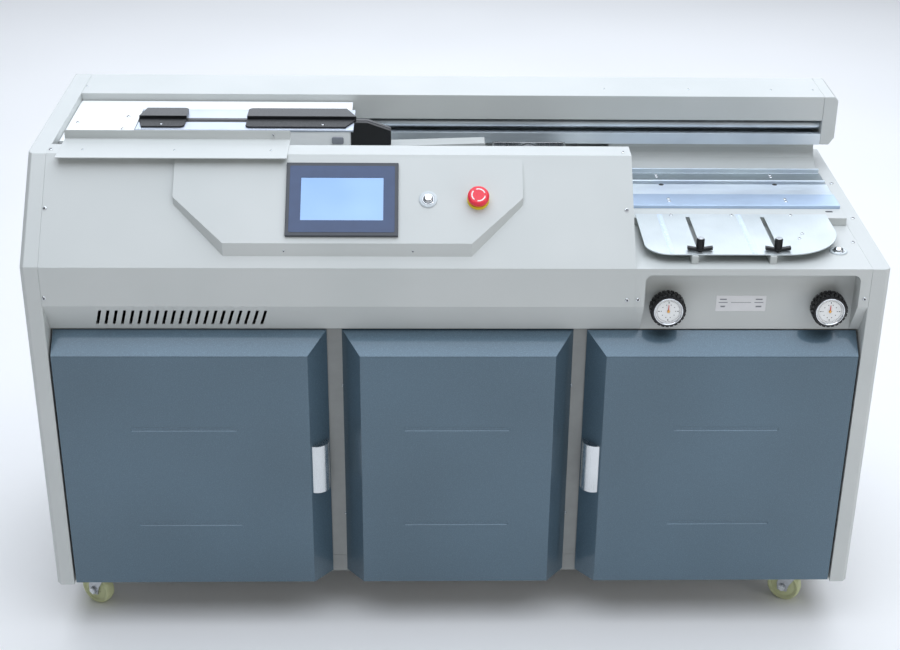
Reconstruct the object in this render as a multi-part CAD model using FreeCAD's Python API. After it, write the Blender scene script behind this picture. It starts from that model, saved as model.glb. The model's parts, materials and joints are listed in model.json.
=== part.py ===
import FreeCAD, Part
import math
import os

# Perfect binding machine. Millimetres, +Z up, origin on the floor under the middle of the cabinet.
# X runs to the right seen from the front, and -Y is the front.
# Heights named rise_ are counted from the right table, and depths named deep_ from the front plane.

# Cabinet
cabinet_width = 1600.0
cabinet_depth = 630.0
castor_height = 105.0
cabinet_height = 702.0
console_rise = 162.0
side_panel_thickness = 35.0
side_panel_chamfer = 8.0
sheet = 2.0
sheet_gap = 0.3
shaft_clearance = 0.05
drill_lap = 1.0

# Console
console_slope_depth = 156.0
console_strip_depth = 49.0
right_table_width = 439.0
front_band_height = 78.0
chin_depth = 39.0
chin_drop = 65.0
vent_count = 21
vent_pitch = 15.3
vent_width = 5.5
vent_side_margin = 88.0
vent_lean = 12.0
vent_margin = 14.0
vent_cut_depth = 5.0
vent_cut_start = 3.0

# Raised control panel on the console slope
panel_left_margin = 238.5
panel_right_margin = 206.0
panel_foot_left_run = 95.5
panel_foot_right_run = 96.0
panel_corner_share = 0.534
panel_top_deep = 150.0
panel_top_lift = 3.5
panel_foot_deep = 16.0
panel_foot_lift = 26.0
panel_top_radius = 12.0
panel_side_radius = 6.0

# Touch screen
screen_from_panel_end = 334.5
screen_width = 207.0
screen_height = 150.0
screen_bezel_proud = 6.0
screen_glass_width = 156.0
screen_glass_height = 90.0
screen_glass_inset = 1.5
screen_glass_thickness = 1.0

# Buttons
power_button_from_panel_end = 176.0
start_button_margin = 46.0
start_button_deep = 80.0
push_button_radius = 9.0
push_button_height = 5.0
push_button_stem_radius = 6.0
push_button_stem_length = 22.0
push_ring_radius = 17.0
push_ring_height = 2.5
push_button_travel = 3.0
button_rest_gap = 0.5
button_drill_spare = 12.0
estop_from_panel_end = 83.5
estop_radius = 20.0
estop_base_radius = 20.5
estop_base_height = 6.0
estop_head_height = 10.5
estop_rim_radius = 6.3
estop_neck_radius = 9.0
estop_neck_length = 30.0
estop_travel = 4.0
button_slope_share = 0.51

# Book support tray on the console
tray_side_margin = 20.0
tray_length = 427.0
tray_overhang = 26.0
tray_reach = 100.0
tray_upstand = 17.0

# Rear beam that carries the clamp carriage
beam_depth = 127.0
beam_face_height = 52.0
beam_drop = 105.0
end_cap_thickness = 30.0
end_cap_top_chamfer = 8.0
end_cap_foot_chamfer = 15.0
end_cap_foot_run = 10.5
rail_floor_thickness = 6.0
rail_lip_depth = 12.0
rail_lip_height = 24.0
guide_rod_radius = 10.0
guide_rod_rise = 94.0
guide_rod_inset = 25.0
guide_rod_spacing = 72.0

# Carriage drive in the beam
pulley_radius = 12.0
pulley_width = 16.0
belt_thickness = 1.6
belt_rise = 138.0
belt_inset = 62.0
pulley_end_gap = 28.0
idler_stub_radius = 6.0
motor_radius = 19.0

# Clamp carriage
carriage_side_gap = 1.0
carriage_beam_gap = 4.0
carriage_console_gap = 57.0
carriage_deck_rise = 147.0
carriage_deck_thickness = 8.0
carriage_unit_clearance = 6.0
clamp_left_margin = 134.0
clamp_plate_thickness = 4.0
clamp_plate_gap = 1.5
clamp_plate_overhang = 7.0
clamp_front_reach = 56.5
slot_from_carriage_back = 113.5
rear_plate_inset = 49.0
jaw_gap = 2.0
jaw_thickness = 11.0
jaw_height = 47.0
jaw_overhang = 80.0
jaw_guard_lap = 3.5
jaw_slope_run = 47.0
jaw_slope_drop = 17.0
clamp_travel = 60.0
clamp_rod_radius = 8.0
clamp_rod_rise = 122.0
clamp_rod_spare = 33.0
clamp_rod_left_inset = 30.0
clamp_rod_right_inset = 45.0
clamp_box_height = 40.0
clamp_box_inset = 1.0
bearing_block_length = 70.0
bearing_block_height = 30.0
bearing_block_wall = 12.5
bearing_block_inset = 30.0
carriage_arm_height = 20.0

# Guide pads on the clamp plates
short_pad_length = 94.0
pad_spacing = 120.0
pad_overhang = 4.0
rear_pad_depth = 37.0
rear_pad_height = 8.5
front_pad_depth = 33.0
front_pad_height = 3.0
pad_left_run = 10.0
pad_right_run = 20.5
pad_corner_radius = 10.0

# Right table with its dial recess
recess_left_margin = 19.5
recess_right_margin = 19.0
recess_drop = 13.0
recess_corner_radius = 14.0
table_under_nip = 10.0
left_handwheel_margin = 47.5
right_handwheel_margin = 48.5
handwheel_drop = 90.5
handwheel_radius = 33.6
handwheel_depth = 28.0
handwheel_face_deep = 4.0
handwheel_knurls = 24
handwheel_knurl_radius = 2.4
handwheel_knurl_reach = 1.2
handwheel_dish_radius = 24.4
handwheel_dish_depth = 3.0
handwheel_shaft_radius = 8.0
handwheel_shaft_length = 90.0

# Cover feed platform
platform_height = 16.0
platform_side_gap = 2.0
platform_step_depth = 48.0
bed_height = 12.0
feed_left_margin = 23.0
feed_right_margin = 40.5
feed_front_deep = 26.0
feed_step_lap = 14.0
feed_left_radius = 46.0
feed_right_radius = 115.0
feed_thickness = 2.0
slide_rail_width = 12.5
slide_rail_offset = 11.0
slide_rail_front_reach = 4.0
right_slot_margin = 129.5
slot_spacing = 146.0
feed_slot_width = 8.0
feed_slot_front_margin = 8.0
feed_slot_back_margin = 1.0
stop_from_feed_front = 18.0
stop_wing_width = 47.0
stop_wing_rise = 8.0
stop_wing_lift = 2.0
stop_wing_waist = 6.0
stop_wing_thickness = 5.0
stop_thickness = 4.0
stop_foot_depth = 8.0
stop_bore_radius = 2.5
stop_knob_radius = 7.5
stop_knob_height = 20.0
stop_knob_grips = 8
stop_grip_radius = 1.6
stop_grip_reach = 0.6
stop_grip_foot = 3.0
stop_screw_depth = 6.0
stop_screw_length = 16.0

# Nipping station
nip_left_gap = 4.0
nip_right_gap = 4.5
nip_bar_depth = 60.0
nip_bar_rise = 22.0
nip_front_plate_depth = 61.0
nip_gap_before_slot = 12.5
nip_plate_rise = 19.0
nip_rear_plate_depth = 64.0
nip_rear_step = 2.0
nip_rear_front_lip = 6.0
nip_rear_back_lip = 4.0
nip_jaw_travel = 11.0
nip_closed_gap = 2.0
nip_lift_travel = 8.0
nip_lift_side_gap = 0.5
nip_block_depth = 30.0
nip_sheet_rise = 50.0
nip_sheet_reach = 30.0
nip_sheet_steps = 8

# Milling and glue units in the trough
bed_thickness = 8.0
glue_console_gap = 100.0
glue_width = 150.0
mill_glue_gap = 15.0
mill_width = 194.0
unit_before_slot = 43.5
unit_behind_slot = 54.5
mill_guard_rise = 95.0
mill_guard_slope = 7.0
mill_corner_radius = 4.0
mill_slot_height = 25.0
mill_slot_depth = 20.0
cutter_radius = 34.0
cutter_thickness = 12.0
cutter_rise = 66.0
cutter_teeth = 12
tooth_width = 5.0
tooth_root = 6.0
tooth_reach = 3.0
tooth_drop = 5.0
tooth_rise = 3.0
cutter_shaft_radius = 10.0
cutter_shaft_gap = 4.0
mill_motor_radius = 58.0
mill_motor_length = 170.0
mill_motor_bore = 40.0
glue_rise = 84.0
glue_wall = 4.0
glue_roller_radius = 27.0
glue_roller_rise = 54.0
glue_roller_side_gap = 3.0
glue_journal_radius = 6.0

# Frame
tube = 30.0
post_deep = 45.0
base_rail_height = 39.0
head_rail_top_drop = 143.0
head_rail_height = 31.0
mid_post_width = 68.0
floor_plate_thickness = 5.0
back_panel_inset = 2.0

# Front covers
cover_depth = 42.0
cover_side_gap = 4.0
cover_top_drop = 146.0
cover_face_top_drop = 183.0
cover_foot_gap = 5.0
middle_cover_width = 441.0
middle_cover_centre = 1.0
left_cover_gap = 27.5
right_cover_gap = 24.5
cover_bevel_width = 36.0
cover_wall = 3.0
groove_length = 206.0
groove_width = 9.0
groove_slope = 0.9
groove_depth = 0.9
groove_drops = (340.5, 556.5)
handle_drop = 435.0
handle_length = 105.0
handle_bulge = 15.0
handle_wall = 3.0
handle_cap = 7.0
handle_edge_margin = 5.0
hinge_inset_x = 9.0
hinge_inset_y = 8.0
hinge_pin_radius = 3.0
hinge_pin_length = 16.0
hinge_pin_proud = 1.0
hinge_arm_thickness = 4.0
hinge_arm_half_width = 4.0
hinge_drops = (265.0, 625.0)
lug_thickness = 4.0
lug_wall = 4.0
lug_gap = 0.5

# Castors
castor_side_inset = 81.0
castor_deep = 80.0
castor_wheel_radius = 35.0
castor_wheel_width = 24.0
castor_wheel_side_gap = 1.0
castor_tyre_radius = 4.0
castor_trail = 24.0
castor_turn = -30.0
castor_axle_radius = 5.0
castor_nut_wall = 3.0
castor_nut_length = 4.0
castor_fork_wall = 3.0
castor_crown_front = 16.0
castor_crown_back = 20.0
castor_leg_half_width = 12.0
castor_leg_foot_drop = 9.0
castor_leg_shoulder = 8.0
castor_plate_size = 76.0
castor_plate_thickness = 4.0
castor_race_radius = 24.0
castor_race_height = 14.0
castor_disc_inset = 2.0

# Electrics
electric_box_width = 260.0
electric_box_depth = 120.0
electric_box_height = 300.0
electric_side_margin = 205.0
electric_box_gap = 10.0
inlet_floor_rise = 102.0
inlet_width = 50.0
inlet_height = 28.0
inlet_depth = 36.0
inlet_flange = 2.0
inlet_ear = 8.0
inlet_flange_edge = 3.0
inlet_wall = 4.0
inlet_mouth_depth = 18.0
inlet_pin_spacing = 7.0
inlet_pin_width = 2.0
inlet_pin_height = 5.0
inlet_pin_setback = 2.0

# Worked out from the sizes above
half_width = cabinet_width / 2
inner_x = half_width - side_panel_thickness
front_y = -cabinet_depth / 2
back_y = cabinet_depth / 2
floor_z = castor_height
table_z = castor_height + cabinet_height
top_z = table_z + console_rise
console_back_deep = console_slope_depth + console_strip_depth
console_right_x = inner_x - right_table_width
panel_left_x = panel_left_margin - inner_x
panel_right_x = console_right_x - panel_right_margin
screen_x = panel_right_x - screen_from_panel_end
power_button_x = panel_right_x - power_button_from_panel_end
estop_x = panel_right_x - estop_from_panel_end
start_button_x = inner_x - start_button_margin
tray_left_x = tray_side_margin - inner_x
cap_x = half_width - end_cap_thickness
beam_deep = cabinet_depth - beam_depth
glue_right_x = console_right_x - glue_console_gap
glue_left_x = glue_right_x - glue_width
mill_right_x = glue_left_x - mill_glue_gap
mill_left_x = mill_right_x - mill_width
carriage_left_x = carriage_side_gap - inner_x
clamp_left_x = carriage_left_x + clamp_left_margin
jaw_right_x = mill_left_x + jaw_guard_lap
carriage_right_x = jaw_right_x - jaw_overhang
clamp_right_x = carriage_right_x + clamp_plate_overhang
carriage_front_deep = console_back_deep + carriage_console_gap
carriage_back_deep = beam_deep - carriage_beam_gap
slot_deep = carriage_back_deep - slot_from_carriage_back
rear_plate_deep = carriage_back_deep - rear_plate_inset
clamp_front_deep = slot_deep - clamp_front_reach
short_pad_right_x = clamp_left_x + short_pad_length
long_pad_left_x = short_pad_right_x + pad_spacing
long_pad_right_x = clamp_right_x + pad_overhang
unit_front_deep = slot_deep - unit_before_slot
unit_back_deep = slot_deep + unit_behind_slot
nip_left_x = console_right_x + nip_left_gap
nip_right_x = inner_x - nip_right_gap
nip_gap_front_deep = slot_deep - nip_gap_before_slot
nip_gap_back_deep = nip_gap_front_deep + nip_jaw_travel + nip_closed_gap
nip_back_deep = nip_gap_back_deep + nip_rear_plate_depth
nip_bar_back_deep = nip_gap_front_deep - nip_front_plate_depth
nip_bar_front_deep = nip_bar_back_deep - nip_bar_depth
platform_front_deep = nip_bar_front_deep - platform_step_depth
platform_right_x = inner_x - platform_side_gap
table_back_deep = nip_bar_front_deep + table_under_nip
feed_left_x = console_right_x + feed_left_margin
feed_right_x = inner_x - feed_right_margin
feed_back_deep = platform_front_deep + feed_step_lap
slot_x_right = feed_right_x - right_slot_margin
slot_x_left = slot_x_right - slot_spacing
stop_deep = feed_front_deep + stop_from_feed_front
recess_left_x = console_right_x + recess_left_margin
recess_right_x = inner_x - recess_right_margin
handwheel_x_left = recess_left_x + left_handwheel_margin
handwheel_x_right = recess_right_x - right_handwheel_margin
middle_cover_left_x = middle_cover_centre - middle_cover_width / 2
middle_cover_right_x = middle_cover_centre + middle_cover_width / 2
left_door_left_x = cover_side_gap - inner_x
left_door_right_x = middle_cover_left_x - left_cover_gap
right_door_left_x = middle_cover_right_x + right_cover_gap
right_door_right_x = inner_x - cover_side_gap
castor_x = half_width - castor_side_inset
electric_x = electric_side_margin - inner_x


def deep(distance):
    return front_y + distance


def rise(height):
    return table_z + height


def vec(x, y, z):
    return FreeCAD.Vector(x, y, z)


def block(x0, x1, y0, y1, z0, z1):
    return Part.makeBox(x1 - x0, y1 - y0, z1 - z0, vec(x0, y0, z0))


def rod(x, y, z, radius, length, direction=(0, 0, 1)):
    return Part.makeCylinder(radius, length, vec(x, y, z), vec(*direction))


def face_of(points):
    return Part.Face(Part.makePolygon(points + [points[0]]))


def prism_x(outline, x0, x1):
    """Outline points are (y, z)."""
    return face_of([vec(x0, y, z) for y, z in outline]).extrude(vec(x1 - x0, 0, 0))


def prism_y(outline, y0, y1):
    """Outline points are (x, z)."""
    return face_of([vec(x, y0, z) for x, z in outline]).extrude(vec(0, y1 - y0, 0))


def prism_z(outline, z0, z1):
    """Outline points are (x, y)."""
    return face_of([vec(x, y, z0) for x, y in outline]).extrude(vec(0, 0, z1 - z0))


def join(shapes):
    shapes = list(shapes)
    return shapes[0].multiFuse(shapes[1:]).removeSplitter()


def cut_all(shape, tools):
    return shape.cut(Part.makeCompound(list(tools)))


def unit(a, b):
    length = math.hypot(b[0] - a[0], b[1] - a[1])
    return ((b[0] - a[0]) / length, (b[1] - a[1]) / length)


def folded(path, thickness):
    """Closed outline of a folded sheet: the path, and the path moved to its right by the thickness."""
    inner = []
    for i, point in enumerate(path):
        before = unit(path[i - 1], point) if i > 0 else unit(point, path[i + 1])
        after = unit(point, path[i + 1]) if i < len(path) - 1 else before
        right = (before[1] + after[1], -before[0] - after[0])
        scale = thickness * 2 / (right[0] ** 2 + right[1] ** 2)
        inner.append((point[0] + right[0] * scale, point[1] + right[1] * scale))
    return path + inner[::-1]


def save(node, *solids):
    shape = solids[0] if len(solids) == 1 else Part.makeCompound(list(solids))
    shape.exportStep("parts/" + node + ".step")


def round_edges(shape, radius, chosen):
    return shape.makeFillet(radius, [edge for edge in shape.Edges if chosen(edge)])


def bevel_edges(shape, size, chosen):
    return shape.makeChamfer(size, [edge for edge in shape.Edges if chosen(edge)])


def runs_along(edge, axis):
    """Whether an edge starts off along "x", "y" or "z"."""
    return abs(getattr(edge.tangentAt(edge.FirstParameter), axis)) > 0.9


slope_angle = math.atan2(console_rise, console_slope_depth)
chin_run = math.hypot(chin_depth, chin_drop)
chin_foot = (deep(chin_depth), rise(-front_band_height - chin_drop))
band_foot = (front_y, rise(-front_band_height))
nose = (front_y, table_z)
crest = (deep(console_slope_depth), top_z)
back_sheet_y = back_y - back_panel_inset - sheet


def side_panel(side, outline):
    """A panel with its outer front edges chamfered. side is -1 at the left and 1 at the right."""
    outer_x = side * half_width
    panel = prism_x(outline, min(side * inner_x, outer_x), max(side * inner_x, outer_x))

    def outer_front(edge):
        point = edge.CenterOfMass
        on_outside = abs(point.x - outer_x) < sheet and not runs_along(edge, "x")
        above_foot = point.z > floor_z + sheet
        at_front = point.y < deep(console_slope_depth)
        return on_outside and above_foot and at_front

    return bevel_edges(panel, side_panel_chamfer, outer_front)


def make_side_panels():
    left = [(front_y, floor_z), nose, crest, (back_y, top_z), (back_y, floor_z)]
    right = [(front_y, floor_z), nose, (back_y, table_z), (back_y, floor_z)]
    save("left_side_panel", side_panel(-1, left))
    save("right_side_panel", side_panel(1, right))


def mid_post_xs():
    """Middles of the two gaps between the front covers."""
    return (
        (left_door_right_x + middle_cover_left_x) / 2,
        (middle_cover_right_x + right_door_left_x) / 2,
    )


def make_frame():
    front = deep(post_deep)
    rear = back_sheet_y
    head_top = rise(-head_rail_top_drop)
    head_foot = head_top - head_rail_height
    base_top = floor_z + base_rail_height
    bed_foot = rise(-sheet)
    posts = [(-inner_x, -inner_x + tube), (inner_x - tube, inner_x)]
    for x in mid_post_xs():
        posts.append((x - mid_post_width / 2, x + mid_post_width / 2))
    solids = []
    for x0, x1 in posts:
        solids.append(block(x0, x1, front, front + tube, base_top, head_foot))
        solids.append(block(x0, x1, rear - tube, rear, base_top, bed_foot - tube))
        solids.append(block(x0, x1, rear - tube, rear, bed_foot, top_z - beam_drop))
    for y in (front, rear - tube):
        solids.append(block(-inner_x, inner_x, y, y + tube, floor_z, base_top))
    solids.append(block(-inner_x, inner_x, front, front + tube, head_foot, head_top))
    for y in (rear, deep(console_back_deep)):
        solids.append(block(-inner_x, inner_x, y - tube, y, bed_foot - tube, bed_foot))
    for x0 in (-inner_x, inner_x - tube):
        solids.append(block(x0, x0 + tube, front + tube, rear - tube, floor_z, base_top))
    solids.append(block(
        -inner_x + tube, inner_x - tube, front + tube, rear - tube, floor_z, floor_z + floor_plate_thickness,
    ))
    save("cabinet_frame", *solids)


def inlet_block(margin_x, margin_z, y0, y1):
    """A block around the inlet's middle, wider and higher than its body by the margins."""
    z = floor_z + inlet_floor_rise
    return block(
        electric_x - inlet_width / 2 - margin_x, electric_x + inlet_width / 2 + margin_x, y0, y1,
        z - inlet_height / 2 - margin_z, z + inlet_height / 2 + margin_z,
    )


def make_back_panel():
    outside = back_sheet_y + sheet
    panel = block(-inner_x, inner_x, back_sheet_y, outside, floor_z, top_z - beam_drop)
    save("back_panel", panel.cut(inlet_block(0, 0, back_sheet_y - drill_lap, outside + drill_lap)))
    body = inlet_block(0, 0, outside - inlet_depth, outside)
    flange = inlet_block(inlet_ear, inlet_flange_edge, outside, outside + inlet_flange)
    mouth_floor = outside - inlet_mouth_depth
    mouth = inlet_block(-inlet_wall, -inlet_wall, mouth_floor, outside + inlet_flange + drill_lap)
    z = floor_z + inlet_floor_rise
    pins = []
    for step in (-1, 0, 1):
        x = electric_x + step * inlet_pin_spacing
        pins.append(block(
            x - inlet_pin_width / 2, x + inlet_pin_width / 2, mouth_floor - drill_lap,
            outside - inlet_pin_setback, z - inlet_pin_height / 2, z + inlet_pin_height / 2,
        ))
    save("power_inlet", join([body, flange]).cut(mouth).fuse(pins))


def slope_point(distance, lift=0.0):
    """(y, z) on the console slope, counted up from the nose, and lifted off it."""
    y = front_y + distance * math.cos(slope_angle) - lift * math.sin(slope_angle)
    return (y, table_z + distance * math.sin(slope_angle) + lift * math.cos(slope_angle))


def vent_cutters():
    """Slanted cutters through the chin under the console's front band."""
    down = (chin_depth / chin_run, -chin_drop / chin_run)
    out = (-chin_drop / chin_run, -chin_depth / chin_run)

    def chin_point(x, along):
        y = band_foot[0] + down[0] * along + out[0] * vent_cut_start
        return vec(x, y, band_foot[1] + down[1] * along + out[1] * vent_cut_start)

    through = vent_cut_start + vent_cut_depth
    cutters = []
    for i in range(vent_count):
        foot_x = vent_side_margin - inner_x + i * vent_pitch
        top_x = foot_x + vent_lean
        foot_along = chin_run - vent_margin
        points = [
            chin_point(top_x, vent_margin), chin_point(top_x + vent_width, vent_margin),
            chin_point(foot_x + vent_width, foot_along), chin_point(foot_x, foot_along),
        ]
        cutters.append(face_of(points).extrude(vec(0, -out[0] * through, -out[1] * through)))
    return cutters


def make_console():
    back = deep(console_back_deep)
    path = [chin_foot, band_foot, nose, crest, (back, top_z)]
    cover = prism_x(folded(path, sheet), -inner_x, console_right_x)
    end = prism_x([nose, crest, (back, top_z), (back, table_z)], console_right_x - sheet, console_right_x)
    rear = block(-inner_x, console_right_x, back - sheet, back, table_z, top_z)
    save("console_cover", cut_all(join([cover, end, rear]), vent_cutters() + panel_drills()))


def panel_plane(share):
    """(y, z) on the raised panel's face, from its foot at 0 to its top at 1."""
    top = slope_point(panel_top_deep / math.cos(slope_angle), panel_top_lift)
    foot_y, slope_z = slope_point(panel_foot_deep / math.cos(slope_angle))
    foot_z = slope_z + panel_foot_lift
    return (foot_y + (top[0] - foot_y) * share, foot_z + (top[1] - foot_z) * share)


def make_control_panel():
    foot = panel_plane(0)
    top = panel_plane(1)
    base_foot = slope_point(panel_foot_deep / math.cos(slope_angle))
    base_top = slope_point(panel_top_deep / math.cos(slope_angle))
    wedge = prism_x([base_foot, foot, top, base_top], panel_left_x, panel_right_x)
    foot_y = base_foot[0]
    top_y = base_top[0]
    corner_y = panel_plane(panel_corner_share)[0]
    foot_left_x = panel_left_x + panel_foot_left_run
    foot_right_x = panel_right_x - panel_foot_right_run
    plan = [
        (panel_left_x, top_y), (panel_left_x, corner_y), (foot_left_x, foot_y),
        (foot_right_x, foot_y), (panel_right_x, corner_y), (panel_right_x, top_y),
    ]
    outline = prism_z(plan, base_foot[1] - drill_lap, top[1] + drill_lap)
    for radius, corner_spot in ((panel_top_radius, top_y), (panel_side_radius, corner_y)):
        outline = round_edges(
            outline, radius,
            lambda edge: runs_along(edge, "z") and abs(edge.CenterOfMass.y - corner_spot) < sheet,
        )
    save("control_panel", cut_all(wedge.common(outline), panel_drills()))


def panel_frame():
    """Direction up the raised panel's face and its outward normal, as (y, z) pairs."""
    up = unit(panel_plane(0), panel_plane(1))
    return up, (-up[1], up[0])


def panel_slab(width, height, low, high):
    """A slab on the raised panel round the touch screen's middle, from low to high above the face."""
    up, out = panel_frame()
    centre = panel_plane(0.5)

    def point(along, lift):
        return (centre[0] + up[0] * along + out[0] * lift, centre[1] + up[1] * along + out[1] * lift)

    half = height / 2
    outline = [point(-half, low), point(half, low), point(half, high), point(-half, high)]
    return prism_x(outline, screen_x - width / 2, screen_x + width / 2)


def make_screen():
    glass_foot = screen_bezel_proud - screen_glass_inset
    bezel = panel_slab(screen_width, screen_height, 0, screen_bezel_proud)
    window = panel_slab(screen_glass_width, screen_glass_height, glass_foot, screen_bezel_proud + drill_lap)
    glass_top = glass_foot + screen_glass_thickness
    glass = panel_slab(screen_glass_width, screen_glass_height, glass_foot, glass_top)
    save("touch_screen", bezel.cut(window), glass)


def standing_rod(spot, lift, radius, length):
    """A rod along a spot's outward direction, starting at a lift over its surface."""
    x, y, z, out = spot
    return rod(x + out[0] * lift, y + out[1] * lift, z + out[2] * lift, radius, length, out)


def push_button(spot):
    """Ring and flat-headed button, standing along out."""
    ring = standing_rod(spot, 0, push_ring_radius, push_ring_height)
    bore = standing_rod(spot, 0, push_button_radius + sheet_gap, push_ring_height)
    head_start = push_button_travel + button_rest_gap
    head = standing_rod(spot, head_start, push_button_radius, push_button_height)
    stem_start = head_start - push_button_stem_length
    stem = standing_rod(spot, stem_start, push_button_stem_radius, push_button_stem_length)
    return ring.cut(bore), head.fuse(stem).removeSplitter()


def button_hole(spot, radius):
    """Drill for a button's stem, through the sheet under it."""
    low = -push_button_stem_length - button_drill_spare
    return standing_rod(spot, low, radius + shaft_clearance, button_drill_spare / 2 - low)


def panel_spot(x):
    """Place and outward direction of a button on the raised panel."""
    y, z = panel_plane(button_slope_share)
    out = panel_frame()[1]
    return x, y, z, (0, out[0], out[1])


def table_spot():
    return start_button_x, deep(start_button_deep), table_z, (0, 0, 1)


def panel_drills():
    return [
        button_hole(panel_spot(power_button_x), push_button_stem_radius),
        button_hole(panel_spot(estop_x), estop_neck_radius),
    ]


def make_buttons():
    power_ring, power_button = push_button(panel_spot(power_button_x))
    start_ring, start_button = push_button(table_spot())
    save("button_rings", power_ring, start_ring)
    save("power_button", power_button)
    save("start_button", start_button)
    spot = panel_spot(estop_x)
    base = standing_rod(spot, 0, estop_base_radius, estop_base_height)
    bore = standing_rod(spot, 0, estop_neck_radius + shaft_clearance, estop_base_height)
    save("estop_base", base.cut(bore))
    head_start = estop_base_height + estop_travel + button_rest_gap
    tip = vec(*spot[:3]) + vec(*spot[3]) * (head_start + estop_head_height)
    head = standing_rod(spot, head_start, estop_radius, estop_head_height)
    head = round_edges(head, estop_rim_radius, lambda edge: (edge.CenterOfMass - tip).Length < sheet)
    neck = standing_rod(spot, head_start - estop_neck_length, estop_neck_radius, estop_neck_length)
    save("estop_button", head.fuse(neck).removeSplitter())


def make_tray():
    front = deep(console_slope_depth - tray_overhang)
    back = front + tray_reach
    foot = top_z + sheet
    path = [(front, foot), (back, foot), (back, foot + tray_upstand)]
    save("support_tray", prism_x(folded(path, sheet), tray_left_x, tray_left_x + tray_length))


def rod_depths():
    first = deep(beam_deep) + guide_rod_inset
    return (first, first + guide_rod_spacing)


def make_beam():
    front = deep(beam_deep)
    foot = top_z - beam_drop
    rear = back_y - back_panel_inset
    path = [(front, top_z - beam_face_height), (front, top_z), (rear, top_z), (rear, foot)]
    save("beam_cover", prism_x(folded(path, sheet), -inner_x, cap_x))
    cap = [
        (cap_x, top_z), (half_width - end_cap_top_chamfer, top_z), (half_width, top_z - end_cap_top_chamfer),
        (half_width, foot + end_cap_foot_chamfer), (half_width - end_cap_foot_run, foot), (cap_x, foot),
    ]
    save("beam_end_cap", prism_y(cap, front, back_y))
    lip = front + rail_lip_depth
    floor_top = foot + rail_floor_thickness
    lip_top = foot + rail_lip_height
    profile = [
        (front, foot), (rear - sheet, foot), (rear - sheet, floor_top), (lip, floor_top), (lip, lip_top),
        (front, lip_top),
    ]
    rail = prism_x(profile, -inner_x, cap_x)
    rods = [
        rod(-inner_x, y, rise(guide_rod_rise), guide_rod_radius, cap_x + inner_x, (1, 0, 0))
        for y in rod_depths()
    ]
    save("guide_rails", rail, *rods)


def belt_loop(left, right, y, z, radius):
    """The stadium-shaped slab that a belt of this radius encloses."""
    along_y = (0, 1, 0)
    return join([
        block(left, right, y, y + pulley_width, z - radius, z + radius),
        rod(left, y, z, radius, pulley_width, along_y),
        rod(right, y, z, radius, pulley_width, along_y),
    ])


def make_drive():
    y = deep(beam_deep) + belt_inset
    z = rise(belt_rise)
    left = -inner_x + pulley_end_gap
    right = cap_x - pulley_end_gap
    outer = belt_loop(left, right, y, z, pulley_radius + belt_thickness)
    save("drive_belt", outer.cut(belt_loop(left, right, y, z, pulley_radius)))
    pulley_back = y + pulley_width
    solids = []
    for x, stub_radius in ((left, motor_radius), (right, idler_stub_radius)):
        pulley = rod(x, y, z, pulley_radius, pulley_width, (0, 1, 0))
        stub = rod(x, pulley_back, z, stub_radius, back_sheet_y - pulley_back, (0, 1, 0))
        solids.append(pulley.fuse(stub).removeSplitter())
    save("drive_motor", *solids)


def clamp_rod_xs():
    return (clamp_left_x + clamp_rod_left_inset, carriage_right_x - clamp_rod_right_inset)


def jaw(y0):
    """Clamp jaw plate with a sloping top corner at its right end."""
    top = rise(carriage_deck_rise)
    foot = top - jaw_height
    outline = [
        (clamp_left_x, top), (jaw_right_x - jaw_slope_run, top), (jaw_right_x, top - jaw_slope_drop),
        (jaw_right_x, foot), (clamp_left_x, foot),
    ]
    return prism_y(outline, y0, y0 + jaw_thickness)


def pad(x0, x1, y_slot, y_far, height, left_run, right_run):
    """Guide pad beside the slot; each end slopes in by its run, or has a round far corner."""
    z = rise(carriage_deck_rise)
    outline = [(x0, y_slot), (x1, y_slot), (x1 - right_run, y_far), (x0 + left_run, y_far)]

    def far_corner(edge):
        point = edge.CenterOfMass
        square_left = left_run == 0 and abs(point.x - x0) < sheet
        square_right = right_run == 0 and abs(point.x - x1) < sheet
        return runs_along(edge, "z") and abs(point.y - y_far) < sheet and (square_left or square_right)

    return round_edges(prism_z(outline, z, z + height), pad_corner_radius, far_corner)


def pads(y_slot, y_far, height):
    return [
        pad(clamp_left_x, short_pad_right_x, y_slot, y_far, height, pad_left_run, 0),
        pad(long_pad_left_x, long_pad_right_x, y_slot, y_far, height, 0, pad_right_run),
    ]


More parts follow.
